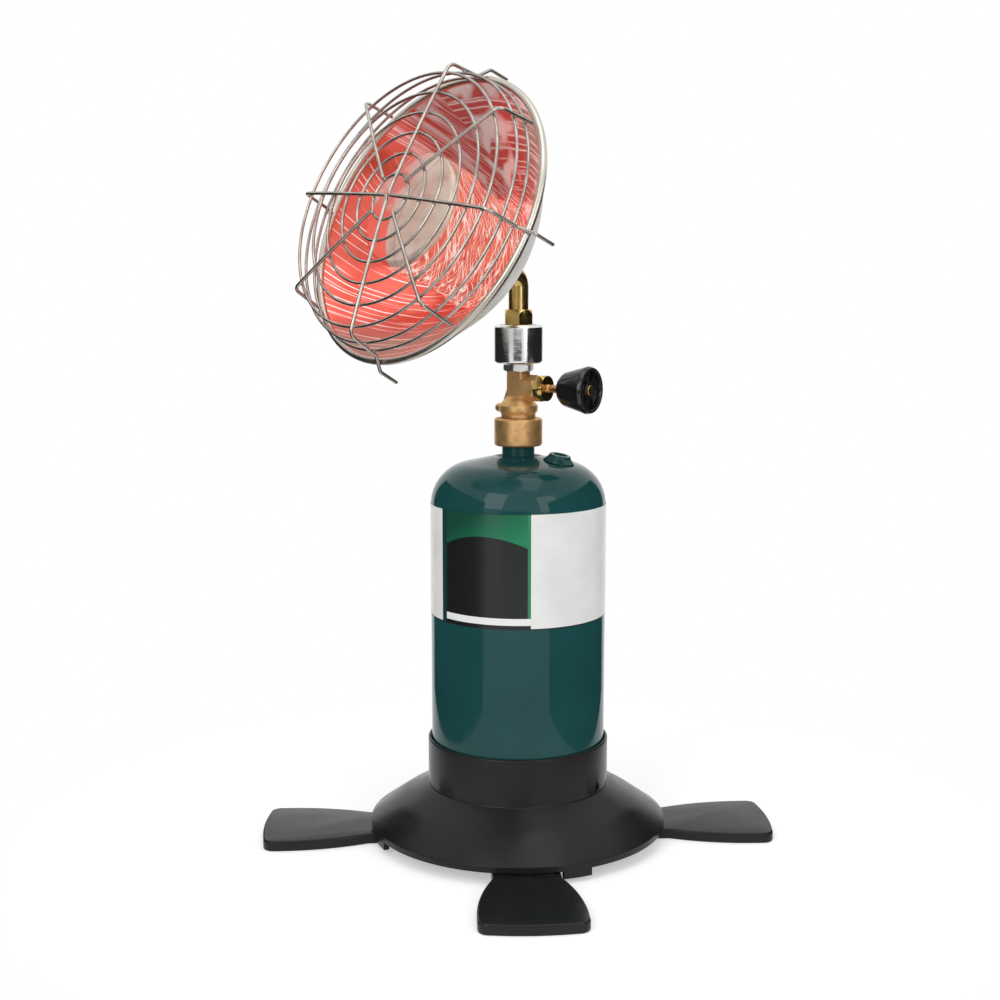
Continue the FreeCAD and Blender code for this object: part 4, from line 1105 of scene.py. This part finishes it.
def burner():
    low = dish_height(BURNER_RADIUS + 2) + 0.3
    pan = lathe("burner_tray", [
        (TUBE_HOLE, low), (BURNER_RADIUS + 2, low, 0.6), (BURNER_RADIUS + 2, low + 3, 0.2),
        (BURNER_RADIUS + 1.2, low + 3, 0.2), (BURNER_RADIUS + 1.2, low + 0.8, 0.3), (TUBE_HOLE, low + 0.8)], around=120)
    finished(pan, "heater", "burner_steel", "cap", "burner_pan", place=ON_DISH)
    high = CAP_BACK + 6
    sleeve_low = low + 0.85
    maker = bmesh.new()
    columns, rows = 150, 22
    grid = [[maker.verts.new((*polar(BURNER_RADIUS, tau * column / columns),
                              sleeve_low + 0.3 + (high - sleeve_low - 0.6) * row / rows)) for column in range(columns)]
            for row in range(rows + 1)]
    for lower, upper in zip(grid, grid[1:]):
        for column in range(columns):
            after = (column + 1) % columns
            maker.faces.new([lower[column], lower[after], upper[after], upper[column]])
    sleeve = new_object("hot_gauze", maker)
    grown(sleeve, GAUZE, "gauze", Wire_radius=0.16, Crumple=1.6, Seed=3.0)
    finished(sleeve, "heater", "glowing_gauze", "gauze", "burner_gauze", place=ON_DISH)
    back = CAP_BACK
    inner = CAP_RADIUS - 0.8
    cap = lathe("burner_lid", [
        (0, CAP_FRONT), (CAP_RADIUS, CAP_FRONT, 3.0), (CAP_RADIUS, back, 0.2), (inner, back, 0.2), (inner, back + 6.05),
        (BURNER_RADIUS - 3, back + 6.05), (BURNER_RADIUS - 3, back + 6.85), (inner, back + 6.85),
        (inner, CAP_FRONT - 0.8, 2.2), (0, CAP_FRONT - 0.8)], around=144)
    finished(cap, "heater", "burner_steel", "cap", "burner_cap", place=ON_DISH)


# Wire guard

def dome_radius():
    span = LAST_RING - CENTRE_BEND
    return (span ** 2 + GUARD_DOME ** 2) / (2 * GUARD_DOME)


def front_height(radius):
    bow = dome_radius()
    return GUARD_HEIGHT + GUARD_DOME - bow + sqrt(bow ** 2 - (radius - CENTRE_BEND) ** 2)


def edge_slope():
    return degrees(asin((SPOKE_EDGE - CENTRE_BEND) / dome_radius()))


def side_top():
    return front_height(SPOKE_EDGE) - SPOKE_BEND * (cos(radians(edge_slope()))
                                                    - sin(radians(SIDE_LEAN)))


def side_radius(height):
    lean = radians(SIDE_LEAN)
    radius = SPOKE_EDGE + SPOKE_BEND * (cos(lean) - sin(radians(edge_slope())))
    return radius + (side_top() - height) * tan(lean)


def spoke_points(start_radius, anchored, angle):
    """One spoke from near the centre over the guard's edge and down its side, with or without a hooked end."""
    slope = degrees(asin((start_radius - CENTRE_BEND) / dome_radius()))
    lean = cos(radians(SIDE_LEAN))
    steps = [(dome_radius(), slope - edge_slope()), (SPOKE_BEND, edge_slope() - 90 + SIDE_LEAN)]
    if anchored:
        steps += [((side_top() - 6.9) / lean,), (3.0, 40.0), (6.8,), (3.0, -44.0), (11.0,)]
    else:
        steps += [((side_top() - 4.0) / lean,)]
    flat = bend_points((start_radius, front_height(start_radius)), -slope, steps)
    turn = Matrix.Rotation(radians(angle), 3, "Z")
    return [turn @ Vector((point.x, 0, point.y)) for point in flat]


def anchor_points(first, second):
    """Two spokes of one wire that meet in a small bend near the centre."""
    inward = spoke_points(CENTRE_BEND, True, first)[::-1]
    outward = spoke_points(CENTRE_BEND, True, second)
    half = radians((first - second) / 2)
    bow = CENTRE_BEND * tan(half)
    middle = radians((first + second) / 2)
    centre = Vector((cos(middle), sin(middle))) * CENTRE_BEND / cos(half)
    bend = []
    for tick in range(1, 8):
        turn = radians(first + 90) + (pi - 2 * half) * tick / 8
        bend.append(Vector((centre.x + bow * cos(turn), centre.y + bow * sin(turn), inward[-1].z)))
    return inward + bend + outward


def welded(name, paths, tree, *nodes, sharp=50, **sizes):
    """Part of the guard: drawn paths run through a geometry tree."""
    item = grown(path_object(name, paths), tree, "wire", **sizes)
    finished(item, "heater", "guard_wire", "wire", *nodes, place=ON_DISH, sharp=sharp)


def guard():
    welded("anchor_wires", [anchor_points(*pair) for pair in ANCHOR_ANGLES], WIRE, "guard_anchor_wires",
           Wire_radius=SPOKE_WIRE, Sides=SPOKE_SIDES)
    welded("plain_spokes", [spoke_points(FIRST_RING, False, angle) for angle in SPOKE_ANGLES], WIRE, "guard_spokes",
           Wire_radius=SPOKE_WIRE, Sides=SPOKE_SIDES)
    welded("front_hoops", [[(0, 0, 0)]], HOOPS, "guard_front_rings", Hoops=FRONT_RINGS, First_radius=FIRST_RING,
           Last_radius=LAST_RING, Wire_radius=RING_WIRE, Front_height=GUARD_HEIGHT + GUARD_DOME - RING_BELOW,
           Dome_radius=dome_radius(), Centre_bend=CENTRE_BEND)
    inside = RING_BELOW / cos(radians(SIDE_LEAN))
    hoop_paths = [[(*polar(side_radius(height) - inside, tau * tick / RING_STEPS), height)
                   for tick in range(RING_STEPS + 1)] for height in SIDE_RINGS]
    welded("side_hoops", hoop_paths, WIRE, "guard_side_rings", Wire_radius=RING_WIRE, Sides=RING_SIDES)
    crossings = []
    for ring in range(FRONT_RINGS):
        radius = FIRST_RING + (LAST_RING - FIRST_RING) * ring / (FRONT_RINGS - 1)
        crossings.append((radius, front_height(radius) - SPOKE_WIRE))
    crossings += [(side_radius(height) - SPOKE_WIRE, height) for height in SIDE_RINGS]
    marks = [[(*polar(radius, radians(angle)), height)]
             for angle in SPOKE_ANGLES + ANCHOR_ANGLES[0] + ANCHOR_ANGLES[1] for radius, height in crossings]
    welded("weld_beads", marks, WELDS, sharp=70, Bead_radius=BEAD_RADIUS, Seed=7)


# Studio

def stage_sheet(name, corners, finish):
    mesh = bpy.data.meshes.new(name)
    mesh.from_pydata(corners, [], [tuple(range(len(corners)))])
    item = linked(name, mesh)
    mesh.materials.append(finish)
    return item


def floor():
    """Pale floor that keeps the soft shadow near the heater and turns into the white background farther out."""
    made, shader, place = new_finish("studio_floor", Roughness=0.9, Base_Color=(0.80, 0.80, 0.80, 1),
                                     Specular_IOR_Level=0.0, Emission_Color=(1, 1, 1, 1), Emission_Strength=0.42)
    tree = made.node_tree
    flat = put(tree, "ShaderNodeMapping", {"Vector": place, "Scale": (1, 1, 0)})
    distance = put(tree, "ShaderNodeVectorMath", {0: flat}, "Value", operation="LENGTH")
    away = ranged(distance, 0.0, 1.0, *FLOOR_FADE, interpolation_type="SMOOTHSTEP")
    white = put(tree, "ShaderNodeEmission", {"Color": (1, 1, 1, 1), "Strength": 1.0})
    blend = put(tree, "ShaderNodeMixShader", {0: away, 1: Flow(shader), 2: white})
    feed(tree.nodes["Material Output"], {0: blend})
    return stage_sheet("floor", [(-4, -4, 0), (4, -4, 0), (4, 4, 0), (-4, 4, 0)], made)


def world():
    """White for what the camera, polished metal and glass see of it, and a plain soft level for the rest."""
    made = bpy.data.worlds.new("studio")
    made.use_nodes = True
    rays = put(made.node_tree, "ShaderNodeLightPath", output="Is Camera Ray")
    seen = rays.math("MAXIMUM", Flow(rays.node, "Is Glossy Ray"))
    seen = seen.math("MAXIMUM", Flow(rays.node, "Is Transmission Ray"))
    feed(made.node_tree.nodes["Background"], {"Color": (1, 1, 1, 1), "Strength": ranged(seen, 0.55, 1.0, 0.0, 1.0)})
    bpy.context.scene.world = made


def seen_from_camera(azimuth):
    """Direction on the floor, in radians, from degrees to the right of the camera's side."""
    return radians(-90 + CAMERA_TURN + azimuth)


def softbox(name, azimuth, elevation, distance, size, power):
    """Area light aimed at the heater."""
    light = bpy.data.lights.new(name, "AREA")
    light.shape = "RECTANGLE"
    light.size, light.size_y = size
    light.energy = power
    item = linked(name, light)
    lift = radians(elevation)
    place = Vector((*polar(cos(lift), seen_from_camera(azimuth)), sin(lift))) * distance
    place.z += LIGHT_AIM
    item.location = place
    item.rotation_euler = (Vector((0, 0, LIGHT_AIM)) - place).to_track_quat("-Z", "Y").to_euler()
    return item


def flag(name, azimuths, radii, low, high, tone):
    """Dark card that only mirrors see, standing round the heater between two azimuths and leaning outwards."""
    made = new_finish(name, Roughness=0.9, Specular_IOR_Level=0.0, Base_Color=(tone, tone, tone, 1))[0]
    first, last = azimuths
    corners = [(*polar(radius, seen_from_camera(azimuth)), height) for azimuth, radius, height in (
        (first, radii[0], low), (last, radii[0], low), (last, radii[1], high), (first, radii[1], high))]
    card = stage_sheet(name, corners, made)
    for ray in ("camera", "diffuse", "shadow", "transmission"):
        setattr(card, "visible_" + ray, False)


def camera():
    lens = bpy.data.cameras.new("camera")
    lens.sensor_fit = "HORIZONTAL"
    lens.sensor_width = 36
    lens.lens = CAMERA_LENS
    lens.clip_end = 50
    item = linked("camera", lens)
    turn = radians(CAMERA_TURN)
    item.location = Matrix.Rotation(turn, 3, "Z") @ Vector(CAMERA_PLACE)
    item.rotation_euler = (radians(90 - CAMERA_DIP), 0, turn)
    bpy.context.scene.camera = item


base_moulding()
for side, angle in zip(("front", "right", "back", "left"), FOOT_ANGLES):
    foot(side, angle)
foot_screws()
bottle()
inlet()
valve()
knob()
mixing_parts()
tube()
dish()
burner()
guard()

floor()
world()
softbox("key", -34, 28, 1.6, (0.75, 1.1), 7)
softbox("fill", 40, 20, 1.6, (0.7, 1.1), 5)
softbox("top", 0, 80, 1.6, (1.2, 1.2), 5).data.specular_factor = 0.2
flag("card_left", (-44, -140), (0.34, 0.72), 0.002, 0.48, 0.015)
flag("card_right", (38, 140), (0.34, 0.72), 0.002, 0.48, 0.015)
flag("card_camera", (-24, 15), (1.35, 1.35), 0.0, 0.30, 0.05)
camera()
bpy.context.scene.view_settings.view_transform = "Standard"
